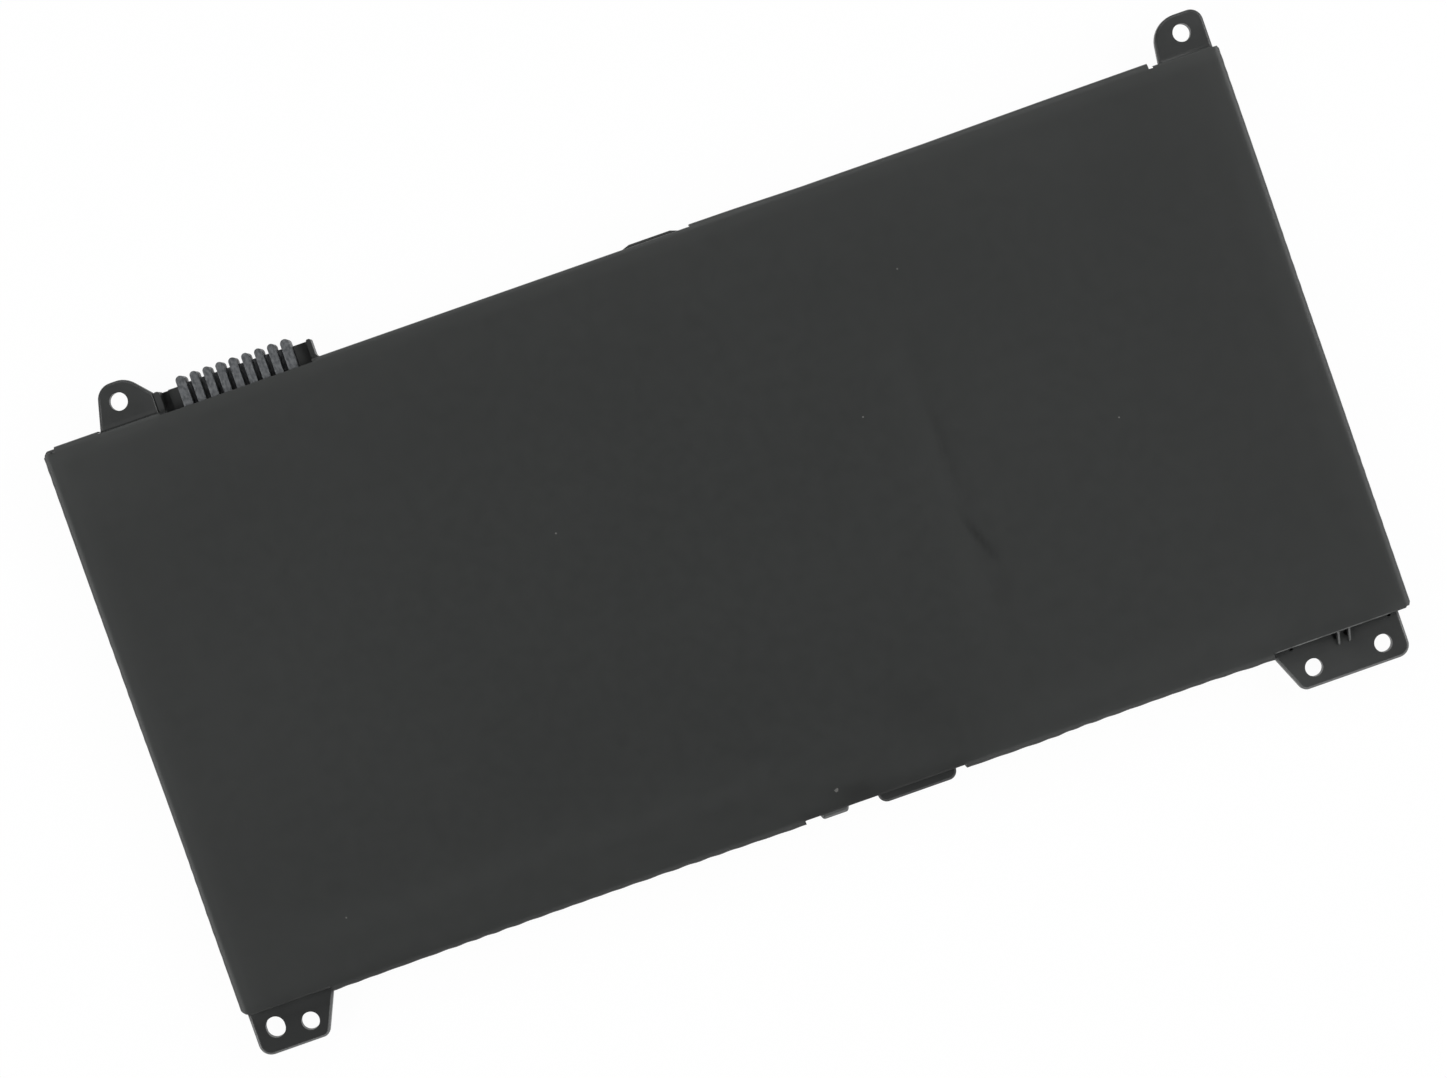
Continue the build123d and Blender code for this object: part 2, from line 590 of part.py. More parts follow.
def make_cell(index):
    """A pouch: a drawn body, a flat terrace at the tab end and side seams folded up."""
    body_width = CELL_WIDTH - 2 * SEAM_THICKNESS
    foot = BAY_BOTTOM + BAY_CLEARANCE
    middle = (cell_middle(index), foot + CELL_LENGTH / 2)
    shape = Rectangle(body_width, CELL_LENGTH)
    shape = Pos(*middle) * chamfer(shape.vertices(), CELL_CORNER)
    cell = prism(shape, CELL_BASE, CELL_TOP)
    rims = cell.faces().sort_by(Axis.Z)
    cell = chamfer(rims[0].edges() + rims[-1].edges(), CELL_BEVEL)
    inset = body_width / 2 - TERRACE_INSET
    low, high = CELL_MIDDLE - TERRACE_THICKNESS / 2, CELL_MIDDLE + TERRACE_THICKNESS / 2
    start = foot + CELL_LENGTH - OVERLAP
    cell += slab(middle[0] - inset, middle[0] + inset, start, TERRACE_END, low, high)
    ends = (foot + CELL_CORNER, foot + CELL_LENGTH - CELL_CORNER)
    for side in (-1, 1):
        inner = middle[0] + side * (body_width / 2 - CELL_BEVEL / 2)
        outer = middle[0] + side * CELL_WIDTH / 2
        cell += slab(min(inner, outer), max(inner, outer), *ends, low, CELL_MIDDLE + SEAM_RISE)
    return cell


def make_sheet(index, z0, z1):
    """An adhesive or foam sheet on one face of a cell."""
    width = CELL_WIDTH - 2 * SHEET_MARGIN
    length = CELL_LENGTH - 2 * SHEET_MARGIN
    middle = (cell_middle(index), BAY_BOTTOM + BAY_CLEARANCE + CELL_LENGTH / 2)
    return prism(Pos(*middle) * Rectangle(width, length), z0, z1)


def make_tab(x):
    """A flat tab from the terrace to its weld plate."""
    half = TAB_WIDTH / 2
    end = PLATE_BACK + PLATE_LENGTH - PLATE_BORDER
    return slab(x - half, x + half, TERRACE_END, end, TAB_BASE, TAB_BASE + TAB_THICKNESS)


def make_seal(x):
    """The sealing collar where a tab leaves the pouch."""
    half = TAB_WIDTH / 2 + SEAL_BORDER
    low, high = CELL_MIDDLE - SEAL_THICKNESS / 2, CELL_MIDDLE + SEAL_THICKNESS / 2
    collar = slab(x - half, x + half, TERRACE_END, TERRACE_END + SEAL_LENGTH, low, high)
    return collar - make_tab(x)


def make_board():
    """The protection board, with holes for the pins of its posts."""
    tabs = [x for x, _, _ in tab_places()]
    left = min(HOUSING_LEFT, tabs[0] - TAB_WIDTH / 2) - BOARD_LEFT_OVERHANG
    right = tabs[-1] + TAB_WIDTH / 2 + BOARD_RIGHT_OVERHANG
    board = slab(left, right, BOARD_BACK, BOARD_FRONT, BOARD_BASE, BOARD_TOP)
    hole = Circle(PIN_DIAMETER / 2 + PIN_CLEARANCE / 2)
    return board - [prism(Pos(x, y) * hole, BOARD_BASE, BOARD_TOP) for x, y in post_places()]


def make_weld_plate(x):
    """A nickel plate that takes the weld of one tab."""
    half = TAB_WIDTH / 2 + PLATE_BORDER
    return slab(x - half, x + half, PLATE_BACK, PLATE_BACK + PLATE_LENGTH, BOARD_TOP, TAB_BASE)


def rib_nose(x, width):
    """The round nose of one rib, past the front of the housing."""
    root = HOUSING_FRONT - OVERLAP
    straight = HOUSING_FRONT + RIB_NOSE - width / 2
    nose = Pos(x, (root + straight) / 2) * Rectangle(width, straight - root)
    nose += Pos(x, straight) * Circle(width / 2)
    return prism(nose, WEB_TOP, HOUSING_TOP)


def contact_places():
    """Middle of every contact slot along X."""
    first = CONNECTOR_MIDDLE - (CONTACT_COUNT - 1) * CONTACT_PITCH / 2
    return [first + index * CONTACT_PITCH for index in range(CONTACT_COUNT)]


def make_housing():
    """The comb of the receptacle: a stepped body that straddles the board's edge, cut into ribs."""
    step = BOARD_FRONT + SEAT_CLEARANCE
    profile = [
        (HOUSING_BACK, BOARD_TOP),
        (HOUSING_BACK, HOUSING_TOP),
        (HOUSING_FRONT, HOUSING_TOP),
        (HOUSING_FRONT, WEB_TOP),
        (step, WEB_TOP),
        (step, BOARD_TOP),
    ]
    face = Plane.YZ * make_face(Polyline(*profile, close=True))
    housing = Pos(HOUSING_LEFT, 0, 0) * extrude(face, HOUSING_WIDTH)
    rib = CONTACT_PITCH - SLOT_WIDTH
    first = HOUSING_LEFT + END_RIB / 2
    noses = [rib_nose(first, END_RIB), rib_nose(first + HOUSING_WIDTH - END_RIB, END_RIB)]
    for x in contact_places()[1:]:
        noses.append(rib_nose(x - CONTACT_PITCH / 2, rib))
    half = SLOT_WIDTH / 2
    back = HOUSING_BACK + HOUSING_BACK_WALL
    slots = []
    for x in contact_places():
        ends = (back, HOUSING_FRONT + OVERLAP, BOARD_TOP, HOUSING_TOP + OVERLAP)
        slots.append(slab(x - half, x + half, *ends))
        passage = (HOUSING_BACK - OVERLAP, back + OVERLAP, BOARD_TOP, BOARD_TOP + FOOT_PASSAGE)
        slots.append(slab(x - half, x + half, *passage))
    return housing + noses - slots


def make_contact(x):
    """A lyre-shaped fork that grips one blade, with a foot soldered to the board."""
    half, metal = FORK_WIDTH / 2, FORK_METAL
    waist = FORK_HEIGHT * FORK_WAIST_SHARE
    arm = [(half, metal), (half - FORK_NECK, waist), (half, FORK_HEIGHT), (half - metal, FORK_HEIGHT)]
    arm += [(half - metal - FORK_NECK, waist), (half - metal, metal)]
    mirrored = [(-px, pz) for px, pz in reversed(arm)]
    face = Plane.XZ * make_face(Polyline((-half, 0), (half, 0), *arm, *mirrored, close=True))
    back = HOUSING_BACK + HOUSING_BACK_WALL + FORK_SETBACK
    fork = Pos(x, back + FORK_LENGTH, BOARD_TOP) * extrude(face, FORK_LENGTH)
    foot = FOOT_WIDTH / 2
    heel = HOUSING_BACK - FOOT_LENGTH
    return fork + slab(x - foot, x + foot, heel, back + metal, BOARD_TOP, BOARD_TOP + metal)


def power_place(place):
    """A place on the board, its offset along X measured from the receptacle."""
    return Pos(HOUSING_RIGHT + place[0], BOARD_FRONT - place[1], BOARD_TOP)


def logic_place(place):
    """A place on the board, its offset along X measured from the middle cell."""
    return Pos(cell_middle(len(CELL_NAMES) // 2) + place[0], BOARD_FRONT - place[1], BOARD_TOP)


def chip(body, leads):
    """A moulded chip with a row of bent leads on both long sides."""
    length, width, height = body
    shape = prism(Rectangle(length, width), CHIP_STANDOFF, CHIP_STANDOFF + height)
    shape = chamfer(shape.faces().sort_by(Axis.Z)[-1].edges(), CHIP_BEVEL)
    knee = CHIP_STANDOFF + height / 2
    profile = [
        (width / 2, knee),
        (width / 2 + LEAD_OVERHANG / 2, knee),
        (width / 2 + LEAD_OVERHANG / 2, LEAD_METAL),
        (width / 2 + LEAD_OVERHANG, LEAD_METAL),
        (width / 2 + LEAD_OVERHANG, 0),
        (width / 2 + LEAD_OVERHANG / 2 - LEAD_METAL, 0),
        (width / 2 + LEAD_OVERHANG / 2 - LEAD_METAL, knee - LEAD_METAL),
        (width / 2, knee - LEAD_METAL),
    ]
    lead = extrude(Plane.YZ * make_face(Polyline(*profile, close=True)), LEAD_WIDTH / 2, both=True)
    rows = []
    for index in range(leads):
        x = (index - (leads - 1) / 2) * LEAD_PITCH
        rows += [Pos(x, 0, 0) * lead, Pos(x, 0, 0) * Rot(0, 0, 180) * lead]
    return shape + rows


def transistor():
    """A flat power transistor with short leads on both sides."""
    length, width, height = TRANSISTOR_BODY
    shape = prism(Rectangle(length, width), 0, height)
    shape = chamfer(shape.faces().sort_by(Axis.Z)[-1].edges(), CHIP_BEVEL)
    lead_width, lead_reach, lead_metal = TRANSISTOR_LEAD
    row = width / 2 + lead_reach
    leads = []
    for index in range(TRANSISTOR_LEAD_COUNT):
        x = (index - (TRANSISTOR_LEAD_COUNT - 1) / 2) * TRANSISTOR_PITCH
        leads.append(slab(x - lead_width / 2, x + lead_width / 2, -row, row, 0, lead_metal))
    return shape + leads


def two_ended(body):
    """A chip component whose capped ends stand a little prouder than its middle."""
    length, width, height = body
    cap = length * TERMINAL_SHARE
    side = width / 2 - TERMINAL_PROUD
    shape = slab(-length / 2 + cap, length / 2 - cap, -side, side, 0, height - TERMINAL_PROUD)
    shape += slab(-length / 2, -length / 2 + cap, -width / 2, width / 2, 0, height)
    shape += slab(length / 2 - cap, length / 2, -width / 2, width / 2, 0, height)
    return shape


def make_pieces():
    """Every piece of the pack by name."""
    pieces = {
        "frame": make_frame(),
        "back_film": make_back_film(),
        "base_film": make_base_film(),
        "circuit_board": make_board(),
        "connector_housing": make_housing(),
        "gauge_chip": logic_place(GAUGE_PLACE) * chip(GAUGE_BODY, GAUGE_LEAD_COUNT),
        "protector_chip": logic_place(PROTECTOR_PLACE) * chip(PROTECTOR_BODY, PROTECTOR_LEAD_COUNT),
        "charge_transistor": power_place(CHARGE_PLACE) * transistor(),
        "discharge_transistor": power_place(DISCHARGE_PLACE) * transistor(),
        "chemical_fuse": power_place(FUSE_PLACE) * two_ended(FUSE_BODY),
        "sense_resistor": logic_place(SENSE_PLACE) * two_ended(SENSE_BODY),
        "thermistor": logic_place(THERMISTOR_PLACE) * two_ended(THERMISTOR_BODY),
        "chip_capacitors": Compound([logic_place(p) * two_ended(CAPACITOR_BODY) for p in CAPACITOR_PLACES]),
        "chip_resistors": Compound([logic_place(p) * two_ended(RESISTOR_BODY) for p in RESISTOR_PLACES]),
    }
    for index, name in enumerate(CELL_NAMES):
        pieces[f"cell_{name}"] = make_cell(index)
        pieces[f"cell_tape_{name}"] = make_sheet(index, BASE_FILM_THICKNESS, CELL_BASE)
        pieces[f"foam_sheet_{name}"] = make_sheet(index, CELL_TOP, FRAME_TOP)
    for x, name, sign in tab_places():
        pieces[f"tab_{name}_{sign}"] = make_tab(x)
        pieces[f"tab_seal_{name}_{sign}"] = make_seal(x)
        pieces[f"weld_plate_{name}_{sign}"] = make_weld_plate(x)
    for number, x in enumerate(contact_places(), 1):
        pieces[f"contact_{number}"] = make_contact(x)
    return pieces


os.makedirs("parts", exist_ok=True)
for node, piece in make_pieces().items():
    export_step(piece, f"parts/{node}.step")
    size = piece.bounding_box().size
    print(f"{node}: {size.X:.2f} x {size.Y:.2f} x {size.Z:.2f} mm, {piece.volume:.1f} mm3")
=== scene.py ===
# %% [markdown]
# # A laptop battery, dressed for its portrait
# The pack is a flat tray of three pouch cells. A moulded black frame holds them, a thin black film is
# stretched over the back and folded down round the edges, and a grey comb of contacts looks out of one
# long side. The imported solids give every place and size. This lesson builds the film, softens the
# mouldings and gives each material its finish. Lengths are written in millimetres and turned to metres
# where they are used.

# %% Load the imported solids
import math

import bpy
import numpy as np
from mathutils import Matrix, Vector


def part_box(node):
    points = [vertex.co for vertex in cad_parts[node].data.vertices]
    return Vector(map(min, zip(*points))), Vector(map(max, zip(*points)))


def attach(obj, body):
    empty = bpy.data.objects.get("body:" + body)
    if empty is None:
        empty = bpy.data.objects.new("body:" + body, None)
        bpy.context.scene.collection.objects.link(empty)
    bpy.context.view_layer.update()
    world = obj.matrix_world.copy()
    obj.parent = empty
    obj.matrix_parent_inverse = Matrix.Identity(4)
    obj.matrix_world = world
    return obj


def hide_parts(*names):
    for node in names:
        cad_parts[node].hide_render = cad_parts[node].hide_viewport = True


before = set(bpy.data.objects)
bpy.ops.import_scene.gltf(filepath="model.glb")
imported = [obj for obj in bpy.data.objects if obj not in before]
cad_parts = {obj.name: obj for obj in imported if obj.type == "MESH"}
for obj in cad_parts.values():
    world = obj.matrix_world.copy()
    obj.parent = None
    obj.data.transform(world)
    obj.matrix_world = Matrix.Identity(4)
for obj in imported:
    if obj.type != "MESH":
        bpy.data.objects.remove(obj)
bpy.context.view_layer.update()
MM = 0.001

# %% [markdown]
# ## The camera
# The pack was photographed from almost straight above with a long lens, turned about twenty degrees in
# the frame. The place and the turn were worked out from the screw holes and the film's corners, so the
# camera is simply set there.

# %% Camera
CAMERA_PLACE = (-8.2655, 21.8913, 704.6146)
CAMERA_TURN = (-1.583570, -1.134443, -19.329888)
SENSOR_WIDTH = 36.0
LENS = 94.5653
camera_data = bpy.data.cameras.new("camera")
camera_data.sensor_width = SENSOR_WIDTH
camera_data.lens = LENS
camera = bpy.data.objects.new("camera", camera_data)
camera.location = Vector(CAMERA_PLACE) * MM
camera.rotation_euler = [math.radians(angle) for angle in CAMERA_TURN]
bpy.context.scene.collection.objects.link(camera)
bpy.context.scene.camera = camera
bpy.context.scene.view_settings.view_transform = "Standard"
print("camera height in mm:", round(camera.location.z / MM, 1))

# %% [markdown]
# ## Helpers for shading
# Every finish below is a Principled shader fed by noise on Object coordinates, so a pattern keeps its
# real scale and stays put on its piece. A few small functions add the nodes that the finishes share.

# %% Helpers for shading
TONE_RANGE = (0.35, 0.65)
ROUGH_RANGE = (0.3, 0.7)


def new_finish(name, colour, roughness, metallic=0.0):
    """A material with its colour, roughness and metal set on the shader's own sockets."""
    material = bpy.data.materials.new(name)
    material.use_nodes = True
    shader = material.node_tree.nodes["Principled BSDF"]
    shader.inputs["Base Color"].default_value = (*colour, 1)
    shader.inputs["Roughness"].default_value = roughness
    shader.inputs["Metallic"].default_value = metallic
    return material


def add_node(material, kind, **settings):
    """A node with its properties and, by name, the values of its inputs."""
    node = material.node_tree.nodes.new(kind)
    for key, value in settings.items():
        if key in node.inputs:
            node.inputs[key].default_value = value
        else:
            setattr(node, key, value)
    return node


def wire(material, source, target):
    """A link from one socket to another."""
    material.node_tree.links.new(source, target)


def grain(material, size, detail=2.0, stretch=(1, 1, 1)):
    """Noise with blobs of about a size in millimetres. Returns its value socket, near 0.5 on average."""
    place = add_node(material, "ShaderNodeTexCoord")
    scale = add_node(material, "ShaderNodeMapping", Scale=stretch)
    noise = add_node(material, "ShaderNodeTexNoise", Scale=1 / (size * MM), Detail=detail)
    wire(material, place.outputs["Object"], scale.inputs["Vector"])
    wire(material, scale.outputs["Vector"], noise.inputs["Vector"])
    return noise.outputs["Fac"]


def spread(material, value, low, high, out_low, out_high):
    """A value stretched from one range to another and held there."""
    node = add_node(material, "ShaderNodeMapRange")
    limits = {"From Min": low, "From Max": high, "To Min": out_low, "To Max": out_high}
    for name, limit in limits.items():
        node.inputs[name].default_value = limit
    wire(material, value, node.inputs["Value"])
    return node.outputs["Result"]


def tint(material, share, first, second):
    """A colour that goes from the first to the second as a share goes from 0 to 1."""
    node = add_node(material, "ShaderNodeMix", data_type="RGBA")
    sockets = [socket for socket in node.inputs if socket.type == "RGBA"]
    for socket, colour in zip(sockets, (first, second)):
        if isinstance(colour, bpy.types.NodeSocket):
            wire(material, colour, socket)
        else:
            socket.default_value = (*colour, 1)
    wire(material, share, node.inputs["Factor"])
    return [socket for socket in node.outputs if socket.type == "RGBA"][0]


def combine(material, operation, first, second):
    """The result of a Math node on two inputs, each a socket or a number."""
    node = add_node(material, "ShaderNodeMath", operation=operation)
    for socket, source in zip(node.inputs, (first, second)):
        if isinstance(source, bpy.types.NodeSocket):
            wire(material, source, socket)
        else:
            socket.default_value = source
    return node.outputs["Value"]


def raise_grain(material, *layers):
    """Bump from several layers of noise, each given as its socket and its height in millimetres."""
    below = None
    for value, height in layers:
        bump = add_node(material, "ShaderNodeBump", Strength=1.0, Distance=height * MM)
        wire(material, value, bump.inputs["Height"])
        if below:
            wire(material, below, bump.inputs["Normal"])
        below = bump.outputs["Normal"]
    shader = material.node_tree.nodes["Principled BSDF"]
    wire(material, below, shader.inputs["Normal"])


def into_shader(material, value, name):
    """A value into an input of the Principled shader."""
    wire(material, value, material.node_tree.nodes["Principled BSDF"].inputs[name])


print("shading helpers ready")

# %% [markdown]
# ## The film's finish: tone and grain
# The film is matt black plastic, a shade greener than neutral. It is not one flat tone: there are wide
# cloudy patches, and a very fine grain from the rollers that made it. An image texture could hold all
# this, but noise at four sizes does it with nothing to load.

# %% Film tone and grain
FILM_DARK = (0.0155, 0.0172, 0.0164)
FILM_PALE = (0.0170, 0.0187, 0.0179)
FILM_ROUGH = (0.55, 0.60)
CLOUD_SIZE, PATCH_SIZE, PORE_SIZE, ROLLER_SIZE = 34.0, 2.6, 0.55, 0.11
PATCH_HEIGHT, PORE_HEIGHT, ROLLER_HEIGHT = 0.003, 0.0030, 0.0022
CLOUD_RANGE = (0.32, 0.68)
film_finish = new_finish("film_black", FILM_DARK, FILM_ROUGH[0])
clouds = grain(film_finish, CLOUD_SIZE, detail=3.0)
patches = grain(film_finish, PATCH_SIZE, detail=3.0)
pores = grain(film_finish, PORE_SIZE)
rollers = grain(film_finish, ROLLER_SIZE)
film_tone = tint(film_finish, spread(film_finish, clouds, *CLOUD_RANGE, 0, 1), FILM_DARK, FILM_PALE)
into_shader(film_finish, spread(film_finish, patches, *ROUGH_RANGE, *FILM_ROUGH), "Roughness")
raise_grain(film_finish, (patches, PATCH_HEIGHT), (pores, PORE_HEIGHT), (rollers, ROLLER_HEIGHT))
print("film grain in mm:", CLOUD_SIZE, PATCH_SIZE, PORE_SIZE, ROLLER_SIZE)

# %% [markdown]
# ## The film's finish: painted light and shade, and folds
# Painted shade darkens the film and painted light pales it, its folds are partly rubbed and partly given a
# painted sheen, and where it is cut over the long lower ear a painted highlight makes its edge paler still.
# Where they lie isn't random: it follows two attributes that the film's mesh will carry, one for painted
# light and shade and one for the folds. Noise only breaks up the folds and the cut edge.

# %% Film painted light and shade, and folds
FILM_RUB_AND_SHEEN = (0.050, 0.053, 0.052)
FILM_CUT_HIGHLIGHT = (0.150, 0.155, 0.152)
FILM_PAINTED_SHADE = (0.0040, 0.0048, 0.0044)
FILM_PAINTED_LIGHT = (0.0270, 0.0290, 0.0280)
RUB_AND_SHEEN_SHARE = (0.18, 0.42)
CUT_HIGHLIGHT_RANGE, CUT_HIGHLIGHT_SHARE = (0.40, 0.62), (0.25, 1.0)
# Painted light pales the film and painted shade darkens it, as the attribute below lies above or below 0.
painted_light_shade = add_node(film_finish, "ShaderNodeAttribute", attribute_name="painted_light_shade").outputs["Fac"]
film_tone = tint(film_finish, spread(film_finish, painted_light_shade, 0, 1, 0, 1), film_tone, FILM_PAINTED_LIGHT)
film_tone = tint(film_finish, spread(film_finish, painted_light_shade, 0, -1, 0, 1), film_tone, FILM_PAINTED_SHADE)
fold_mark = add_node(film_finish, "ShaderNodeAttribute", attribute_name="fold").outputs["Fac"]
# Folds are partly rubbed and partly given a painted sheen where the roll turns towards the lamps.
rub_and_sheen = combine(film_finish, "MULTIPLY", fold_mark, spread(film_finish, patches, *TONE_RANGE, *RUB_AND_SHEEN_SHARE))
film_tone = tint(film_finish, rub_and_sheen, film_tone, FILM_RUB_AND_SHEEN)
# A painted highlight pales the film's cut edge over the long lower ear, where the fold share runs from 1 to
# 2.
cut_edge_highlight = combine(
    film_finish,
    "MULTIPLY",
    spread(film_finish, fold_mark, 1, 2, 0, 1),
    spread(film_finish, patches, *CUT_HIGHLIGHT_RANGE, *CUT_HIGHLIGHT_SHARE),
)
film_tone = tint(film_finish, cut_edge_highlight, film_tone, FILM_CUT_HIGHLIGHT)
print("film marks read from attributes: mark, fold")

# %% [markdown]
# ## The film's finish: dust
# A few specks of dust and one larger crumb lie on the film. The cells of a flat Voronoi pattern each have
# a point and a random colour: a speck is drawn round the point in the few cells whose red is high. The
# crumb is a ragged disc at one place, so its distance is measured in the plane and roughened by the
# pores.

# %% Film dust
DUST = (0.11, 0.11, 0.105)
DUST_SPACING = 15.0
DUST_RADIUS = 0.16
DUST_SHARE = 0.95
CRUMB = (2.7, -51.4)
CRUMB_RADIUS = 0.30
film_place = add_node(film_finish, "ShaderNodeTexCoord").outputs["Object"]
dust = add_node(film_finish, "ShaderNodeTexVoronoi", voronoi_dimensions="2D", Scale=1 / (DUST_SPACING * MM))
wire(film_finish, film_place, dust.inputs["Vector"])
dust_draw = add_node(film_finish, "ShaderNodeSeparateColor")
wire(film_finish, dust.outputs["Color"], dust_draw.inputs["Color"])
near = combine(film_finish, "LESS_THAN", dust.outputs["Distance"], DUST_RADIUS / DUST_SPACING)
chosen = combine(film_finish, "GREATER_THAN", dust_draw.outputs["Red"], DUST_SHARE)
specks = combine(film_finish, "MULTIPLY", near, chosen)

in_plane = add_node(film_finish, "ShaderNodeVectorMath", operation="MULTIPLY")
in_plane.inputs[1].default_value = (1, 1, 0)
wire(film_finish, film_place, in_plane.inputs[0])
away = add_node(film_finish, "ShaderNodeVectorMath", operation="DISTANCE")
away.inputs[1].default_value = (CRUMB[0] * MM, CRUMB[1] * MM, 0)
wire(film_finish, in_plane.outputs["Vector"], away.inputs[0])
raggedness = spread(film_finish, pores, *ROUGH_RANGE, -CRUMB_RADIUS * MM, CRUMB_RADIUS * MM)
ragged = combine(film_finish, "ADD", away.outputs["Value"], raggedness)
crumb = combine(film_finish, "LESS_THAN", ragged, CRUMB_RADIUS * MM)
bits = combine(film_finish, "MAXIMUM", specks, crumb)
into_shader(film_finish, tint(film_finish, bits, film_tone, DUST), "Base Color")
print("film finish:", len(film_finish.node_tree.nodes), "nodes")

# %% [markdown]
# ## Helpers for modelling
# Most tools in edit mode act on what is selected, so the lesson picks edges in code, by where they lie.
# Tests work in millimetres, because that is how the pack is measured.


# %% Helpers for modelling
def start_piece(name):
    """Names the primitive that was just added and opens it for editing."""
    piece = bpy.context.active_object
    piece.name = name
    piece.data.name = name
    bpy.ops.object.mode_set(mode="EDIT")
    bpy.ops.mesh.select_mode(type="EDGE")
    return piece


def pick_edges(piece, test):
    """Selects, in edit mode, the edges whose two ends pass a test on their place. Returns how many."""
    bpy.ops.mesh.select_all(action="DESELECT")
    bpy.ops.object.mode_set(mode="OBJECT")
    points = [tuple(vertex.co / MM) for vertex in piece.data.vertices]
    picked = 0
    for edge in piece.data.edges:
        edge.select = all(test(*points[end]) for end in edge.vertices)
        picked += edge.select
    bpy.ops.object.mode_set(mode="EDIT")
    return picked


def cut_across(axis, places):
    """Cuts right across the piece being edited, at several places on one axis."""
    normal = [float(axis == name) for name in "XYZ"]
    for place_mm in places:
        bpy.ops.mesh.select_all(action="SELECT")
        bpy.ops.mesh.bisect(plane_co=[place_mm * MM * n for n in normal], plane_no=normal)


def rulings(stops, step):
    """Places of the cuts: every stop but the ends, with even cuts between, no further apart than a step."""
    places = []
    for start, end in zip(stops, stops[1:]):
        count = max(1, math.ceil((end - start) / step))
        places += [start + (end - start) * index / count for index in range(count)]
    return places[1:]


def apply_modifier(piece, kind, **settings):
    """Adds a modifier to a piece in object mode and applies it."""
    modifier = piece.modifiers.new(kind.lower(), kind)
    for key, value in settings.items():
        setattr(modifier, key, value)
    bpy.context.view_layer.objects.active = piece
    bpy.ops.object.modifier_apply(modifier=modifier.name)


def vertex_places(piece):
    """The places of a piece's vertices in millimetres, as three arrays."""
    flat = np.zeros(len(piece.data.vertices) * 3)
    piece.data.vertices.foreach_get("co", flat)
    return (flat.reshape(-1, 3) / MM).T


def smooth(piece, degrees):
    """Shades a piece smooth except across edges sharper than an angle."""
    bpy.ops.object.select_all(action="DESELECT")
    piece.select_set(True)
    bpy.context.view_layer.objects.active = piece
    bpy.ops.object.shade_smooth_by_angle(angle=math.radians(degrees))


print("modelling helpers ready")

# %% [markdown]
# ## The back film: a flat sheet
# The film starts as the flat part of the back, up to where it begins to roll over the frame's edges. Its
# border is not straight: near each ear, lug and the receptacle the sheet is cut back. Cuts across the
# sheet at those places give the border its stops, and finer cuts between them let the film sag later.
# Bisect makes each cut, because it puts an edge exactly where it is told to.

# %% Flat sheet
ROLL = 1.25
SLIT = 0.1
film_low, film_high = (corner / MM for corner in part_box("back_film"))
SHEET_X, SHEET_Y, SHEET_TOP = film_high.x - ROLL, film_high.y - ROLL, film_high.z
LEFT_END, LEFT_FOLD_END = -112.45, -103.30
CONNECTOR_START, CONNECTOR_END = -91.45, -60.85
TOP_FOLD_START, TOP_FOLD_END = 11.45, 100.55
LEFT_EAR_END, RIGHT_EAR_START = -96.90, 87.15
LUGS_START, LUGS_END = -4.55, 26.85
stops_x = sorted([
    -SHEET_X, LEFT_END - SLIT, LEFT_END, LEFT_FOLD_END, CONNECTOR_START, CONNECTOR_END,
    TOP_FOLD_START, TOP_FOLD_END, TOP_FOLD_END + SLIT, SHEET_X, LEFT_EAR_END - SLIT, LEFT_EAR_END,
    LUGS_START, LUGS_END, RIGHT_EAR_START, RIGHT_EAR_START + SLIT,
])
CUT_STEP_X, CUT_STEP_Y = 0.75, 1.25
bpy.ops.object.select_all(action="DESELECT")
bpy.ops.mesh.primitive_plane_add(size=1, location=(0, 0, 0))
back_film = start_piece("back_film_sheet")
bpy.ops.mesh.select_all(action="SELECT")
bpy.ops.transform.resize(value=(2 * SHEET_X * MM, 2 * SHEET_Y * MM, 1))
bpy.ops.transform.translate(value=(0, 0, SHEET_TOP * MM))
cut_across("X", rulings(stops_x, CUT_STEP_X))
cut_across("Y", rulings([-SHEET_Y, SHEET_Y], CUT_STEP_Y))
bpy.ops.object.mode_set(mode="OBJECT")
print("flat sheet:", len(back_film.data.polygons), "faces")

# %% [markdown]
# ## The back film: cut back at the ears
# Over the ears the film ends flat, a little inside or outside the line where the rolls begin, so those
# stretches of the border are slid along Y. A narrow slit is left beside each, as if a blade had started
# the fold there. A cut edge of film droops, so each stretch gets a lip, extruded in steps that bend
# further down. On two ears the lip is long and lies against the wall.

# %% Ends over the ears
EDGE = 0.01
DROOP = [(0.14, 0.03), (0.10, 0.09), (0.05, 0.14)]
HIGH_DRAPE = [(0.14, 0.03), (0.12, 0.10), (0.08, 0.25), (0.04, 0.50)]
LOW_DRAPE = [(0.14, 0.03), (0.12, 0.10), (0.09, 0.20), (0.05, 0.35), (0.03, 0.80), (0.01, 0.90)]
bpy.ops.object.mode_set(mode="EDIT")
ear_ends = [
    (-SHEET_X, LEFT_END - SLIT, 1, 54.60, DROOP),
    (TOP_FOLD_END + SLIT, SHEET_X, 1, 54.55, HIGH_DRAPE),
    (-SHEET_X, LEFT_EAR_END - SLIT, -1, 54.40, LOW_DRAPE),
    (RIGHT_EAR_START + SLIT, SHEET_X, -1, 54.32, DROOP),
]
for start, end, side, reach, lip_steps in ear_ends:
    count = pick_edges(
        back_film,
        lambda x, y, z: start - EDGE < x < end + EDGE and side * y > SHEET_Y - EDGE,
    )
    bpy.ops.transform.translate(value=(0, side * (reach - SHEET_Y) * MM, 0))
    for out, down in lip_steps:
        bpy.ops.mesh.extrude_region_move(TRANSFORM_OT_translate={"value": (0, side * out * MM, -down * MM)})
    print("moved", count, "edges at x", start, "to y", side * reach)
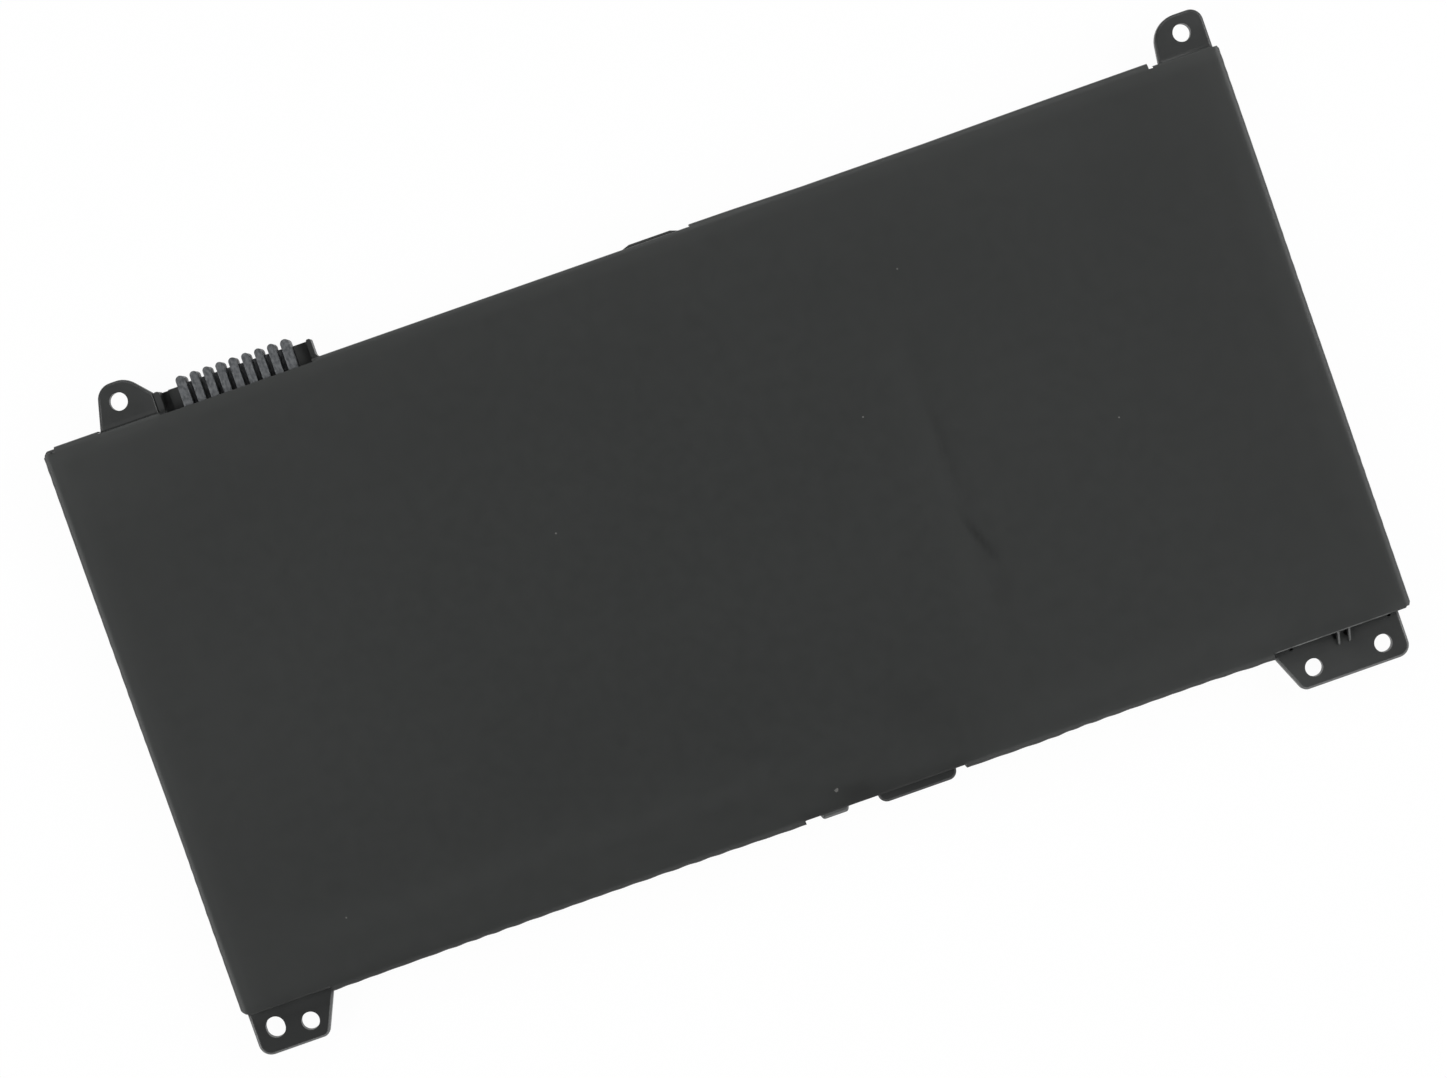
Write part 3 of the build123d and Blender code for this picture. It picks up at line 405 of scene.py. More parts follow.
bpy.ops.object.mode_set(mode="OBJECT")

# %% [markdown]
# ## The back film: folds
# Everywhere else the film rolls over the frame's rounded edge. Spin turns a row of border edges about the
# roll's axis, which is just what the film does. A full fold turns a quarter and is then drawn down the
# wall by extrude. At the lugs, the receptacle and the left of the connector edge the film stops part of
# the way round.

# %% Folds
QUARTER = 90.0
ROLL_STEP = 13.0
FLANGE_STEPS = 3
flange = SHEET_TOP - ROLL - film_low.z


def part_turn(reach):
    """The angle at which a roll has reached a distance from the middle along Y."""
    return math.degrees(math.asin((reach - SHEET_Y) / ROLL))


def fold(piece, test, hinge, axis, turn):
    """Rolls the picked border edges over the frame, and down the wall after a full quarter."""
    count = pick_edges(piece, test)
    bpy.ops.mesh.spin(
        steps=max(2, round(turn / ROLL_STEP)),
        angle=math.radians(turn),
        center=Vector(hinge) * MM,
        axis=axis,
    )
    if turn == QUARTER:
        step_down = (0, 0, -flange / FLANGE_STEPS * MM)
        for _ in range(FLANGE_STEPS):
            bpy.ops.mesh.extrude_region_move(TRANSFORM_OT_translate={"value": step_down})
    print("rolled", count, "edges by", round(turn, 1), "degrees")


axis_height = SHEET_TOP - ROLL
long_folds = [
    (LEFT_END, LEFT_FOLD_END, 1, QUARTER),
    (LEFT_FOLD_END, CONNECTOR_START, 1, part_turn(55.1)),
    (CONNECTOR_START, CONNECTOR_END, 1, part_turn(54.65)),
    (CONNECTOR_END, TOP_FOLD_START, 1, part_turn(55.1)),
    (TOP_FOLD_START, TOP_FOLD_END, 1, QUARTER),
    (LEFT_EAR_END, LUGS_START, -1, QUARTER),
    (LUGS_START, LUGS_END, -1, part_turn(54.9)),
    (LUGS_END, RIGHT_EAR_START, -1, QUARTER),
]
bpy.ops.object.mode_set(mode="EDIT")
for start, end, side, turn in long_folds:
    fold(
        back_film,
        lambda x, y, z: start - EDGE < x < end + EDGE and side * y > SHEET_Y - EDGE and z > SHEET_TOP - EDGE,
        (0, side * SHEET_Y, axis_height),
        (side, 0, 0),
        turn,
    )
for side in (-1, 1):
    fold(
        back_film,
        lambda x, y, z: side * x > SHEET_X - EDGE and z > SHEET_TOP - EDGE,
        (side * SHEET_X, 0, axis_height),
        (0, -side, 0),
        QUARTER,
    )
bpy.ops.object.mode_set(mode="OBJECT")
extent = np.array([vertex.co for vertex in back_film.data.vertices]) / MM
print("folded film from", extent.min(0).round(2), "to", extent.max(0).round(2))

# %% [markdown]
# ## The back film: trimmed corners
# The rolls on the short edges would stick out past the corners of the frame, so their ends are trimmed
# aslant. Bisect can also throw away what lies beyond its plane, which trims the roll and the flange in
# one go.

# %% Trimmed corners
MERGE = 0.002
TRIMS = [
    ((113.45, -54.60), (114.25, -53.40)),
    ((-114.25, -53.40), (-113.60, -54.10)),
    ((-113.30, 54.65), (-114.25, 54.15)),
    ((114.25, 53.95), (113.55, 54.60)),
]
bpy.ops.object.mode_set(mode="EDIT")
for (x0, y0), (x1, y1) in TRIMS:
    bpy.ops.mesh.select_all(action="SELECT")
    bpy.ops.mesh.bisect(
        plane_co=(x0 * MM, y0 * MM, 0),
        plane_no=(y1 - y0, x0 - x1, 0),
        clear_outer=True,
    )
bpy.ops.mesh.select_all(action="SELECT")
bpy.ops.mesh.remove_doubles(threshold=MERGE * MM)
bpy.ops.mesh.normals_make_consistent(inside=False)
bpy.ops.object.mode_set(mode="OBJECT")
print("trimmed film:", len(back_film.data.polygons), "faces")

# %% [markdown]
# ## The back film: how it lies
# The film is glued to the frame and the foam on the cells, and it shows what is under it: it dips over
# the gap beside the right divider, steps down past the lower ends of the cells, and has one sharp crease
# where it was bent. These are hundredths of a millimetre, seen only as shading. Sculpting would do, but a
# few smooth curves added up and given to the vertices can be measured and repeat exactly.


# %% How the film lies
def rise(value, start, end):
    """A smooth ramp from 0 at one place to 1 at another."""
    share = np.clip((value - start) / (end - start), 0, 1)
    return share * share * (3 - 2 * share)


def fade(value, up=None, down=None):
    """A rise over one ramp and a fall over another. A ramp that is left out changes nothing."""
    share = np.ones(len(value))
    if up:
        share *= rise(value, *up)
    if down:
        share *= 1 - rise(value, *down)
    return share


def patch(x, y, centre, reach, turn=0.0):
    """A soft oval patch, 1 at its centre, with its half-sizes and a turn in degrees."""
    c, s = math.cos(math.radians(turn)), math.sin(math.radians(turn))
    u = ((x - centre[0]) * c + (y - centre[1]) * s) / reach[0]
    v = ((y - centre[1]) * c - (x - centre[0]) * s) / reach[1]
    return np.exp(-(u * u + v * v))


GAP_DEPTH, STEP_DEPTH, BAY_DEPTH, RAIL_DEPTH = 0.075, 0.050, 0.045, 0.030
WANDER_DEPTH, LEFT_SLOPE, TOP_SLOPE = 0.012, 0.080, 0.070
LEVEL_DEPTH, DEEPEST, STEP_SOFTNESS = 0.014, 0.11, 0.3
FILM_DENTS = {
    "crease": (0.050, (43.9, -16.5), (0.9, 5.2), 12),
    "ridge beside the crease": (-0.020, (42.6, -14.0), (1.0, 5.0), 12),
    "hollow above the long lug": (0.030, (22, -42.5), (7.5, 4.0), -18),
    "dent beside the crumb": (0.040, (7.0, -51.6), (2.6, 1.1), -10),
}


def film_depth(x, y):
    """How far the film lies below its highest level, in millimetres."""
    divider_gap = fade(x, (34.0, 42.2), (42.2, 45.4)) * fade(y, (-44, -30), (14, 34))
    below_cells = fade(y, down=(-47.6, -43.8))
    left_cells = fade(x, (-101, -50), (-50, -1.5)) ** STEP_SOFTNESS
    right_cell = fade(x, (30, 60), (60, 96)) ** STEP_SOFTNESS
    board_bay = fade(y, (29, 39), (44, 53.5))
    rails = fade(x, down=(-103, -98)) + fade(x, (101.5, 106))
    wandering = np.sin(x / 17.0 + 0.6 * np.sin(y / 13.0)) * np.cos(y / 21.0 + x / 60.0)
    depth = GAP_DEPTH * divider_gap + STEP_DEPTH * below_cells * (left_cells + right_cell)
    depth += BAY_DEPTH * board_bay + RAIL_DEPTH * rails + WANDER_DEPTH * wandering
    depth += LEFT_SLOPE * fade(x, down=(-113.2, -111.4)) + TOP_SLOPE * fade(y, (52.0, 54.6))
    for amount, centre, reach, turn in FILM_DENTS.values():
        depth += amount * patch(x, y, centre, reach, turn)
    return np.clip(depth + LEVEL_DEPTH, 0, DEEPEST)


TOP_REACH = 0.5
x, y, z = vertex_places(back_film)
z_moved = z - film_depth(x, y) * rise(z, SHEET_TOP - TOP_REACH, SHEET_TOP)
print("film dips by up to", round(float((z - z_moved).max()), 3), "mm")

# %% [markdown]
# ## The back film: wavy folds
# A folded edge of film is never straight. Along the lower edge it bulges between the spots of glue, about
# every four millimetres; the short edges have smaller ripples that only go inwards, because the pack's
# length ends there.

# %% Wavy folds
WAVE_LENGTH = 4.35
WAVE_HEIGHT = 0.13
RIPPLE_LENGTH = 3.1
RIPPLE_HEIGHT = 0.07
ROLL_START = 0.5
LOWER_SWELL = [
    (-97, 0.04), (-82, -0.05), (-70, -0.12), (-60, -0.12), (-30, -0.08), (-20, 0.0), (-8, 0.17),
    (20, 0.0), (28, 0.10), (43, 0.12), (49, -0.11), (74, -0.11), (86, 0.14),
]
UPPER_SWELL = [
    (-112, 0.10), (-103, 0.10), (11, 0.16), (20, 0.12), (33, -0.11), (57, -0.11), (69, 0.0),
    (80, 0.10), (100, 0.18),
]
LEFT_SWELL = [(-36, 0.0), (-22, -0.13), (-12, -0.13), (4, 0.0)]


def swell(value, stops):
    """How far a fold stands off along its length, in straight runs between stops."""
    places, heights = zip(*stops)
    return np.interp(value, places, heights)


wander = 1.3 * np.sin(x / 9.0) + 0.8 * np.sin(x / 3.7)
bulge = (0.5 + 0.5 * np.cos(2 * math.pi * x / WAVE_LENGTH + wander)) * (0.7 + 0.3 * np.sin(x / 6.0))
lower_fold = rise(-y, SHEET_Y + ROLL_START, SHEET_Y + ROLL)
upper_fold = rise(y, SHEET_Y + ROLL_START, SHEET_Y + ROLL)
y_moved = y - (WAVE_HEIGHT * bulge + swell(x, LOWER_SWELL)) * lower_fold + swell(x, UPPER_SWELL) * upper_fold
ripple_phase = 2 * math.pi * y / RIPPLE_LENGTH + 1.1 * np.sin(y / 4.1)
ripple = (0.5 + 0.5 * np.sin(ripple_phase)) * (0.6 + 0.4 * np.sin(y / 7.0))
end_fold = rise(np.abs(x), SHEET_X + ROLL_START, SHEET_X + ROLL)
x_moved = x - np.sign(x) * RIPPLE_HEIGHT * ripple * end_fold - swell(y, LEFT_SWELL) * end_fold * (x < 0)
moved = np.stack([x_moved, y_moved, z_moved], axis=1)
back_film.data.vertices.foreach_set("co", (moved * MM).astype(np.float32).ravel())
back_film.data.update()
print("waves move the folds by up to", round(float(np.abs(y_moved - y).max()), 3), "mm")

# %% [markdown]
# ## The back film: rubbed and lit folds
# A fold is painted paler than the flat film: partly it is rubbed, and partly the colour is a painted sheen
# where the roll turns towards the lamps. How much is kept for each vertex in an attribute that the finish
# reads: up to 1 is a rubbed fold with its painted sheen, and from 1 to 2 is a painted highlight on the edge
# where the film is cut over the long lower ear.

# %% Rubbed folds and painted sheen
LOWER_FOLD_RUB_AND_SHEEN, UPPER_LEFT_RUB_AND_SHEEN, CUT_EDGE_HIGHLIGHT = 0.35, 0.2, 2.0
FLANGE_RUB_AND_SHEEN = 0.3


def store(piece, name, values):
    """Keeps a value for every vertex of a piece in an attribute that its finish can read."""
    attribute = piece.data.attributes.new(name, "FLOAT", "POINT")
    attribute.data.foreach_set("value", values.astype(np.float32))


# The cut edge over the long lower ear carries a painted highlight, as a fold share from 1 to 2.
cut_run = fade(x, (RIGHT_EAR_START, RIGHT_EAR_START + 0.3), (109.5, 110.5))
upper_left_run = fade(x, (LEFT_FOLD_END, LEFT_FOLD_END + 1), (-93, CONNECTOR_START))
# Up to 1: rubbing and painted sheen on the rolls, full on the short ends, weaker on the lower and upper left
# folds.
fold_share = np.maximum.reduce([
    rise(np.abs(x), SHEET_X - 0.3, SHEET_X + 0.8),
    LOWER_FOLD_RUB_AND_SHEEN * rise(-y, SHEET_Y - 0.2, SHEET_Y + 0.8) * rise(x, 20, 60),
    CUT_EDGE_HIGHLIGHT * rise(-y, 54.28, 54.45) * cut_run,
    UPPER_LEFT_RUB_AND_SHEEN * rise(y, 53.8, 54.6) * upper_left_run,
])
fold_share = fold_share * (FLANGE_RUB_AND_SHEEN + (1 - FLANGE_RUB_AND_SHEEN) * rise(z, 5.0, 6.2))
store(back_film, "fold", fold_share)
print("folds rubbed by up to", round(float(fold_share.max()), 2))

# %% [markdown]
# ## The back film: painted light and shade
# Most changes of tone on the film are painted light and shade: paler where its slopes and edges face the
# lamps, darker in the crease, over dents and along the lugs' recess. Each is a soft patch or band. Above 0
# it is painted paler and below 0 darker, and the finish mixes its tones by it. A band rises over one ramp
# and falls over another, first along X and then along Y.

# %% Painted light and shade
# Painted shade lies in the crease and at its ends, above the long lug and beside the crumb. The spot on the
# right edge is a painted highlight. The corners and the edge by the upper right ear are painted paler.
LIGHT_AND_SHADE_PATCHES = {
    "painted shade in the crease": (-1.00, (42.9, -16.3), (0.65, 4.5), 20),
    "end of the crease": (-0.25, (44.6, -26.5), (1.2, 1.7)),
    "start of the crease": (-0.22, (42.4, 3.0), (0.8, 8.0), 2),
    "painted highlight on the right edge": (0.45, (112.9, 47.0), (0.7, 3.0)),
    "painted shade above the long lug": (-0.26, (22.0, -42.5), (8.0, 4.4), -18),
    "painted shade beside the crumb": (-0.70, (6.2, -52.6), (4.6, 1.7), -6),
    "lower right corner": (1.00, (112.0, -54.0), (2.0, 1.0)),
    "edge by the upper right ear": (0.30, (107.0, 54.0), (6.0, 1.4)),
    "upper left corner": (0.18, (-108.0, 48.0), (8.0, 8.0)),
}
# Painted light lies beside the crease, on the cell ends, towards and along the upper edge, on the left, right
# and lower edges and by the upper left ear. Painted shade lies at and above the lugs and along the lower left
# edge. The band by the lower right ear, the strip on the right and the middle are painted darker.
LIGHT_AND_SHADE_BANDS = {
    "strip beside the crease": (0.14, (33.0, 40.4), (40.4, 41.8), (-46, -20), (14, 28)),
    "ends of the left cells": (0.20, (-101, -92), (-14, 0), (-48.5, -44.6), (-44.6, -40.0)),
    "end of the right cell": (0.30, (28, 50), (86, 96), (-55.5, -50.0), (-50.0, -43.5)),
    "painted light towards the upper edge": (0.27, None, None, (34, 54), None),
    "upper edge": (0.52, None, None, (51.5, 54.0), None),
    "darker band by the lower right ear": (-0.22, (86, 90), (106, 110), None, (-53.6, -52.4)),
    "edge by the upper left ear": (0.80, (-105, -102), (-94, -91), (52.8, 54.4), None),
    "left edge": (0.36, None, (-113.0, -107.5), None, None),
    "right edge": (0.20, (108.5, 112.5), None, None, None),
    "darker strip on the right": (-0.16, (70, 100), (106, 111), (-46, -30), None),
    "lower edge": (0.36, (27, 32), (80, 88), None, (-54.3, -52.4)),
    "painted shade at the lugs": (-0.50, (-5, -4.4), (26.6, 27.2), None, (-54.7, -54.2)),
    "lower left edge": (-0.30, None, (-86, -50), None, (-53.8, -52.6)),
    "painted shade above the lugs": (-0.35, (-8, -4), (25, 29), None, (-53.8, -52.6)),
    "darker middle": (-0.10, None, (0, 60), (-46, -34), (-30, -8)),
}


def film_light_and_shade(x, y):
    """How much paler, or below 0 how much darker, the film is painted, as painted light and shade."""
    value = sum(amount * patch(x, y, *shape) for amount, *shape in LIGHT_AND_SHADE_PATCHES.values())
    for amount, x_up, x_down, y_up, y_down in LIGHT_AND_SHADE_BANDS.values():
        value = value + amount * fade(x, x_up, x_down) * fade(y, y_up, y_down)
    return value


light_and_shade_value = film_light_and_shade(x, y)
store(back_film, "painted_light_shade", light_and_shade_value)
print("marks from", round(float(light_and_shade_value.min()), 2), "to", round(float(light_and_shade_value.max()), 2))

# %% [markdown]
# ## The back film: its thickness
# Solidify gives the sheet the thickness of real film. It grows inwards, so the outside stays where it was
# shaped.

# %% Film thickness
FILM_THICKNESS = 0.10
FILM_SMOOTH = 40
apply_modifier(
    back_film, "SOLIDIFY", thickness=FILM_THICKNESS * MM, offset=-1.0, use_even_offset=True, use_rim=True
)
back_film.data.materials.append(film_finish)
smooth(back_film, FILM_SMOOTH)
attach(back_film, "root")
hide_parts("back_film")
print("back film:", len(back_film.data.polygons), "faces")

# %% [markdown]
# ## The base film
# The underside is closed by a second film, a plain flat sheet with round corners that lies inside the
# frame's edge. A rounded rectangle comes from bevelling the corners of a plane. The sheet then sinks a
# little over the gaps between the cells, which tells a reader of the underside where the cells are.

# %% Base film
BASE_CORNER = 2.0
BASE_STEP = 1.6
BASE_DIP = 0.06
GAP_MIDDLES = (-34.15, 37.65)
GAP_HALF = 6.0
CELL_LOW, CELL_HIGH = -45.3, 37.5
BOARD_END = (49, 53)
base_low, base_high = (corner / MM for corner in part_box("base_film"))
bpy.ops.object.select_all(action="DESELECT")
bpy.ops.mesh.primitive_plane_add(size=1, location=(0, 0, 0))
base_film = start_piece("base_film_sheet")
bpy.ops.mesh.select_all(action="SELECT")
base_size = base_high - base_low
bpy.ops.transform.resize(value=(base_size.x * MM, base_size.y * MM, 1))
bpy.ops.mesh.bevel(offset=BASE_CORNER * MM, segments=6, affect="VERTICES")
cut_across("X", rulings([base_low.x, base_high.x], BASE_STEP))
cut_across("Y", rulings([base_low.y, base_high.y], BASE_STEP))
bpy.ops.mesh.select_all(action="SELECT")
bpy.ops.mesh.flip_normals()
bpy.ops.object.mode_set(mode="OBJECT")
x, y, _ = vertex_places(base_film)
dip = sum(fade(x, (gap - GAP_HALF, gap), (gap, gap + GAP_HALF)) for gap in GAP_MIDDLES)
dip = dip * fade(y, (CELL_LOW - 2, CELL_LOW + 4), (CELL_HIGH - 4, CELL_HIGH + 2))
dip = np.maximum(dip, fade(y, (CELL_HIGH - 1, CELL_HIGH + 3), BOARD_END))
points = np.stack([x, y, base_low.z + BASE_DIP * dip], axis=1)
base_film.data.vertices.foreach_set("co", (points * MM).astype(np.float32).ravel())
for name in ("fold", "painted_light_shade"):
    store(base_film, name, np.zeros(len(base_film.data.vertices)))
base_film.data.update()
apply_modifier(base_film, "SOLIDIFY", thickness=FILM_THICKNESS * MM, offset=-1.0, use_rim=True)
base_film.data.materials.append(film_finish)
smooth(base_film, FILM_SMOOTH)
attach(base_film, "root")
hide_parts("base_film")
print("base film:", len(base_film.data.polygons), "faces")

# %% [markdown]
# ## The moulded pieces
# The frame and the comb of the receptacle are injection mouldings, and no moulding has a knife-sharp
# edge. The imported solids have the right shape with sharp edges, so each is copied, its loose triangles
# are merged back into whole faces, and its sharp edges are bevelled. Very short edges, on the rims of
# holes and round noses, are left as they are, because a bevel wider than its own edge folds over itself.
# A few cuts across the ears give their tops vertices that can carry painted light and shade.

# %% Moulded pieces
SHARP, FLAT, MOULD_SMOOTH = 40, 0.5, 32
FINE_MERGE = 0.0005
FRAME_ROUND, FRAME_SHORTEST = 0.10, 0.24
COMB_ROUND, COMB_SHORTEST = 0.09, 0.10
EAR_CUTS = (-59.2, -57.6, -56.4, -55.5, 55.6, 56.4, 57.4, 58.6)


def moulded_copy(node, name, radius, shortest, cuts=()):
    """A merged copy of a solid with its longer sharp edges rounded, in place of the solid."""
    piece = bpy.data.objects.new(name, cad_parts[node].data.copy())
    piece.data.name = name
    bpy.context.scene.collection.objects.link(piece)
    bpy.ops.object.select_all(action="DESELECT")
    piece.select_set(True)
    bpy.context.view_layer.objects.active = piece
    bpy.ops.object.mode_set(mode="EDIT")
    bpy.ops.mesh.select_mode(type="EDGE")
    bpy.ops.mesh.select_all(action="SELECT")
    bpy.ops.mesh.remove_doubles(threshold=FINE_MERGE * MM)
    bpy.ops.mesh.dissolve_limited(angle_limit=math.radians(FLAT))
    bpy.ops.mesh.select_all(action="DESELECT")
    bpy.ops.mesh.edges_select_sharp(sharpness=math.radians(SHARP))
    bpy.ops.object.mode_set(mode="OBJECT")
    mesh = piece.data
    reach = np.full(len(mesh.vertices), np.inf)
    for edge in mesh.edges:
        ends = [mesh.vertices[index].co for index in edge.vertices]
        for index in edge.vertices:
            reach[index] = min(reach[index], (ends[0] - ends[1]).length / MM)
    for edge in mesh.edges:
        edge.select = edge.select and min(reach[index] for index in edge.vertices) > shortest
    picked = sum(edge.select for edge in mesh.edges)
    bpy.ops.object.mode_set(mode="EDIT")
    bpy.ops.mesh.bevel(offset=radius * MM, segments=2, affect="EDGES", clamp_overlap=True)
    cut_across("Y", cuts)
    bpy.ops.object.mode_set(mode="OBJECT")
    piece.data.materials.clear()
    smooth(piece, MOULD_SMOOTH)
    apply_modifier(piece, "WEIGHTED_NORMAL", keep_sharp=True)
    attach(piece, "root")
    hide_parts(node)
    print(name, "has", picked, "edges rounded and", len(mesh.polygons), "faces")
    return piece


moulded_frame = moulded_copy("frame", "moulded_frame", FRAME_ROUND, FRAME_SHORTEST, EAR_CUTS)
comb = moulded_copy("connector_housing", "receptacle_comb", COMB_ROUND, COMB_SHORTEST)

# %% [markdown]
# ## Slots beside the gussets
# Two thin gussets brace the long lower ear against the wall, with a blind slot beside each. On the real
# pack they lean over and the slots taper to a point, so the vertices there are sheared along X, the
# slots' far corners are drawn in and their floors lifted. The amounts are small, and each vertex moves by
# a plain rule of its place.

# %% Slots beside the gussets
EAR_WALL = -54.6
LEAN = 0.14
SLOT_TAPER, SLOT_FLOOR_LIFT = 0.32, 0.45
SLOT_LEFTS, CORNER_SLACK, CORNER_OUT = (98.9, 101.0), 0.2, 1.1
BRACED_X, BRACED_OUT, BRACED_LOW = (98.6, 102.5), (0.05, 2.2), 3.2
SLOT_FLOOR_X, SLOT_FLOOR_OUT, SLOT_FLOOR_Z = (98.6, 102.0), (-0.05, 1.6), (3.2, 3.7)


def inside(value, low, high):
    """Which values lie between two limits."""
    return (value > low) & (value < high)


x, y, z = vertex_places(moulded_frame)
out = EAR_WALL - y
beside = inside(x, *BRACED_X) & inside(out, *BRACED_OUT) & (z > BRACED_LOW)
far_left = sum(np.abs(x - left) < CORNER_SLACK for left in SLOT_LEFTS) * (out > CORNER_OUT)
slot_floor = inside(x, *SLOT_FLOOR_X) & inside(out, *SLOT_FLOOR_OUT) & inside(z, *SLOT_FLOOR_Z)
x_moved = x + beside * (SLOT_TAPER * far_left - LEAN * out)
points = np.stack([x_moved, y, z + SLOT_FLOOR_LIFT * slot_floor], axis=1)
moulded_frame.data.vertices.foreach_set("co", (points * MM).astype(np.float32).ravel())
moulded_frame.data.update()
print("moved", int(beside.sum()), "vertices beside the gussets")

# %% [markdown]
# ## Gusset ribs
# The crest of each gusset is a rounded rib with a blunt nose, which catches the light. One is modelled
# from a cube: its nose is slid sideways, its crest is drawn down to the ear and every edge is rounded.
# The other is a copy.

# %% Gusset ribs
RIB_WALL, RIB_TIP = -54.70, -57.15
RIB_FOOT, RIB_HEAD, RIB_TIP_TOP = 4.30, 6.05, 4.64
RIB_MIDDLE, RIB_PITCH = 99.86, 2.1
RIB_WIDTH, RIB_ROUND = 0.44, 0.11
half_way = (RIB_WALL + RIB_TIP) / 2
half_up = (RIB_FOOT + RIB_HEAD) / 2
bpy.ops.object.select_all(action="DESELECT")
bpy.ops.mesh.primitive_cube_add(size=1, location=(0, 0, 0))
rib = start_piece("gusset_rib_1")
bpy.ops.mesh.select_all(action="SELECT")
bpy.ops.transform.resize(value=(RIB_WIDTH * MM, (RIB_WALL - RIB_TIP) * MM, (RIB_HEAD - RIB_FOOT) * MM))
bpy.ops.transform.translate(value=(RIB_MIDDLE * MM, half_way * MM, half_up * MM))
pick_edges(rib, lambda x, y, z: y < half_way)
bpy.ops.transform.translate(value=(-LEAN * (RIB_WALL - RIB_TIP) * MM, 0, 0))
pick_edges(rib, lambda x, y, z: y < half_way and z > half_up)
bpy.ops.transform.translate(value=(0, 0, (RIB_TIP_TOP - RIB_HEAD) * MM))
bpy.ops.mesh.select_all(action="SELECT")
bpy.ops.mesh.bevel(offset=RIB_ROUND * MM, segments=3, affect="EDGES")
bpy.ops.object.mode_set(mode="OBJECT")
smooth(rib, SHARP)
bpy.ops.object.duplicate()
twin = bpy.context.active_object
twin.name = "gusset_rib_2"
twin.data.name = "gusset_rib_2"
bpy.ops.object.mode_set(mode="EDIT")
bpy.ops.mesh.select_all(action="SELECT")
bpy.ops.transform.translate(value=(RIB_PITCH * MM, 0, 0))
bpy.ops.object.mode_set(mode="OBJECT")
gusset_ribs = [rib, twin]
for piece in gusset_ribs:
    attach(piece, "root")
print("gusset rib:", len(rib.data.polygons), "faces")

# %% [markdown]
# ## The frame's finish
# The frame is black filled plastic with a fine spark-eroded texture from its mould. It is a touch
# glossier than the film, so its rounded rims catch a thin light. Its tone follows an attribute of painted
# light and shade: 0 is painted dark, 0.5 usual and 1.5 painted pale.

# %% Frame's finish
PLASTIC_DARK = (0.0235, 0.0250, 0.0245)
PLASTIC_PALE = (0.0300, 0.0315, 0.0310)
PLASTIC_PAINTED_SHADE = (0.0120, 0.0130, 0.0128)
PLASTIC_PAINTED_LIGHT = (0.1050, 0.1080, 0.1065)
PLASTIC_ROUGH = (0.40, 0.52)
FLOW_SIZE, MOULD_SIZE = 6.0, 0.22
FLOW_HEIGHT, MOULD_HEIGHT = 0.010, 0.005
USUAL, BRIGHTEST = 0.5, 1.5
frame_finish = new_finish("frame_black_plastic", PLASTIC_DARK, PLASTIC_ROUGH[0])
flow = grain(frame_finish, FLOW_SIZE, detail=3.0)
mould = grain(frame_finish, MOULD_SIZE)
painted_lighting_fac = add_node(frame_finish, "ShaderNodeAttribute", attribute_name="painted_lighting").outputs["Fac"]
plastic_tone = tint(frame_finish, spread(frame_finish, flow, *TONE_RANGE, 0, 1), PLASTIC_DARK, PLASTIC_PALE)
# Below the usual value the frame takes a painted shade, above it a painted light.
plastic_tone = tint(frame_finish, spread(frame_finish, painted_lighting_fac, 0, USUAL, 1, 0), plastic_tone, PLASTIC_PAINTED_SHADE)
plastic_tone = tint(frame_finish, spread(frame_finish, painted_lighting_fac, USUAL, BRIGHTEST, 0, 1), plastic_tone, PLASTIC_PAINTED_LIGHT)
into_shader(frame_finish, plastic_tone, "Base Color")
into_shader(frame_finish, spread(frame_finish, mould, *ROUGH_RANGE, *PLASTIC_ROUGH), "Roughness")
raise_grain(frame_finish, (flow, FLOW_HEIGHT), (mould, MOULD_HEIGHT))
moulded_frame.data.materials.append(frame_finish)
print("frame finish:", len(frame_finish.node_tree.nodes), "nodes")

# %% [markdown]
# ## Painted light and shade on the frame
# The rims of the lower ears, the small lug and the gussets get a painted highlight, and the upper rims and
# the upper rounded edge a painted shade. The lower left ear is painted darker and the lower right a little
# paler. The roots of three ears are painted a little paler than their ends, to lift the shade under the
# wall, and the upper lug and the pocket's floor are painted paler. Each place is a product of ramps along
# the axes, as on the film.

# %% Painted light and shade on the frame
UPPER_EAR_TOP, LOWER_EAR_TOP = (5.7, 5.9), (4.3, 4.5)
LEFT_EAR_SHADE, RIGHT_EAR_LIGHT = 0.36, 0.13
LOWER_RIM_HIGHLIGHT, UPPER_RIM_SHADE, RIB_HIGHLIGHT, PAINTED_LIGHTING_MAX = 1.5, 0.15, 1.3, 1.6
x, y, z = vertex_places(moulded_frame)
lower_ears = fade(y, down=(-55, -50))
# The lower left ear is painted darker as painted shade, and the lower right ear a little paler as painted
# light.
painted_lighting = USUAL - LEFT_EAR_SHADE * fade(x, down=(-98, -90)) * lower_ears
painted_lighting += RIGHT_EAR_LIGHT * fade(x, (80, 88), (93, 98)) * lower_ears
# A painted highlight on the rims of the lower ears, a painted shade on the upper rims.
lower_rim = fade(z, (3.4, 3.7), (4.36, 4.398)) * fade(y, down=(-56.0, -55.7)) * (np.abs(x) > 60)
upper_rim = fade(z, (4.6, 5.0), (5.70, 5.79)) * fade(y, (55.7, 56.0)) * ((x < -92) | (x > 95))
painted_lighting = painted_lighting * (1 - lower_rim - upper_rim) + LOWER_RIM_HIGHLIGHT * lower_rim + UPPER_RIM_SHADE * upper_rim

on_upper_ear, on_lower_ear = inside(z, *UPPER_EAR_TOP), inside(z, *LOWER_EAR_TOP)
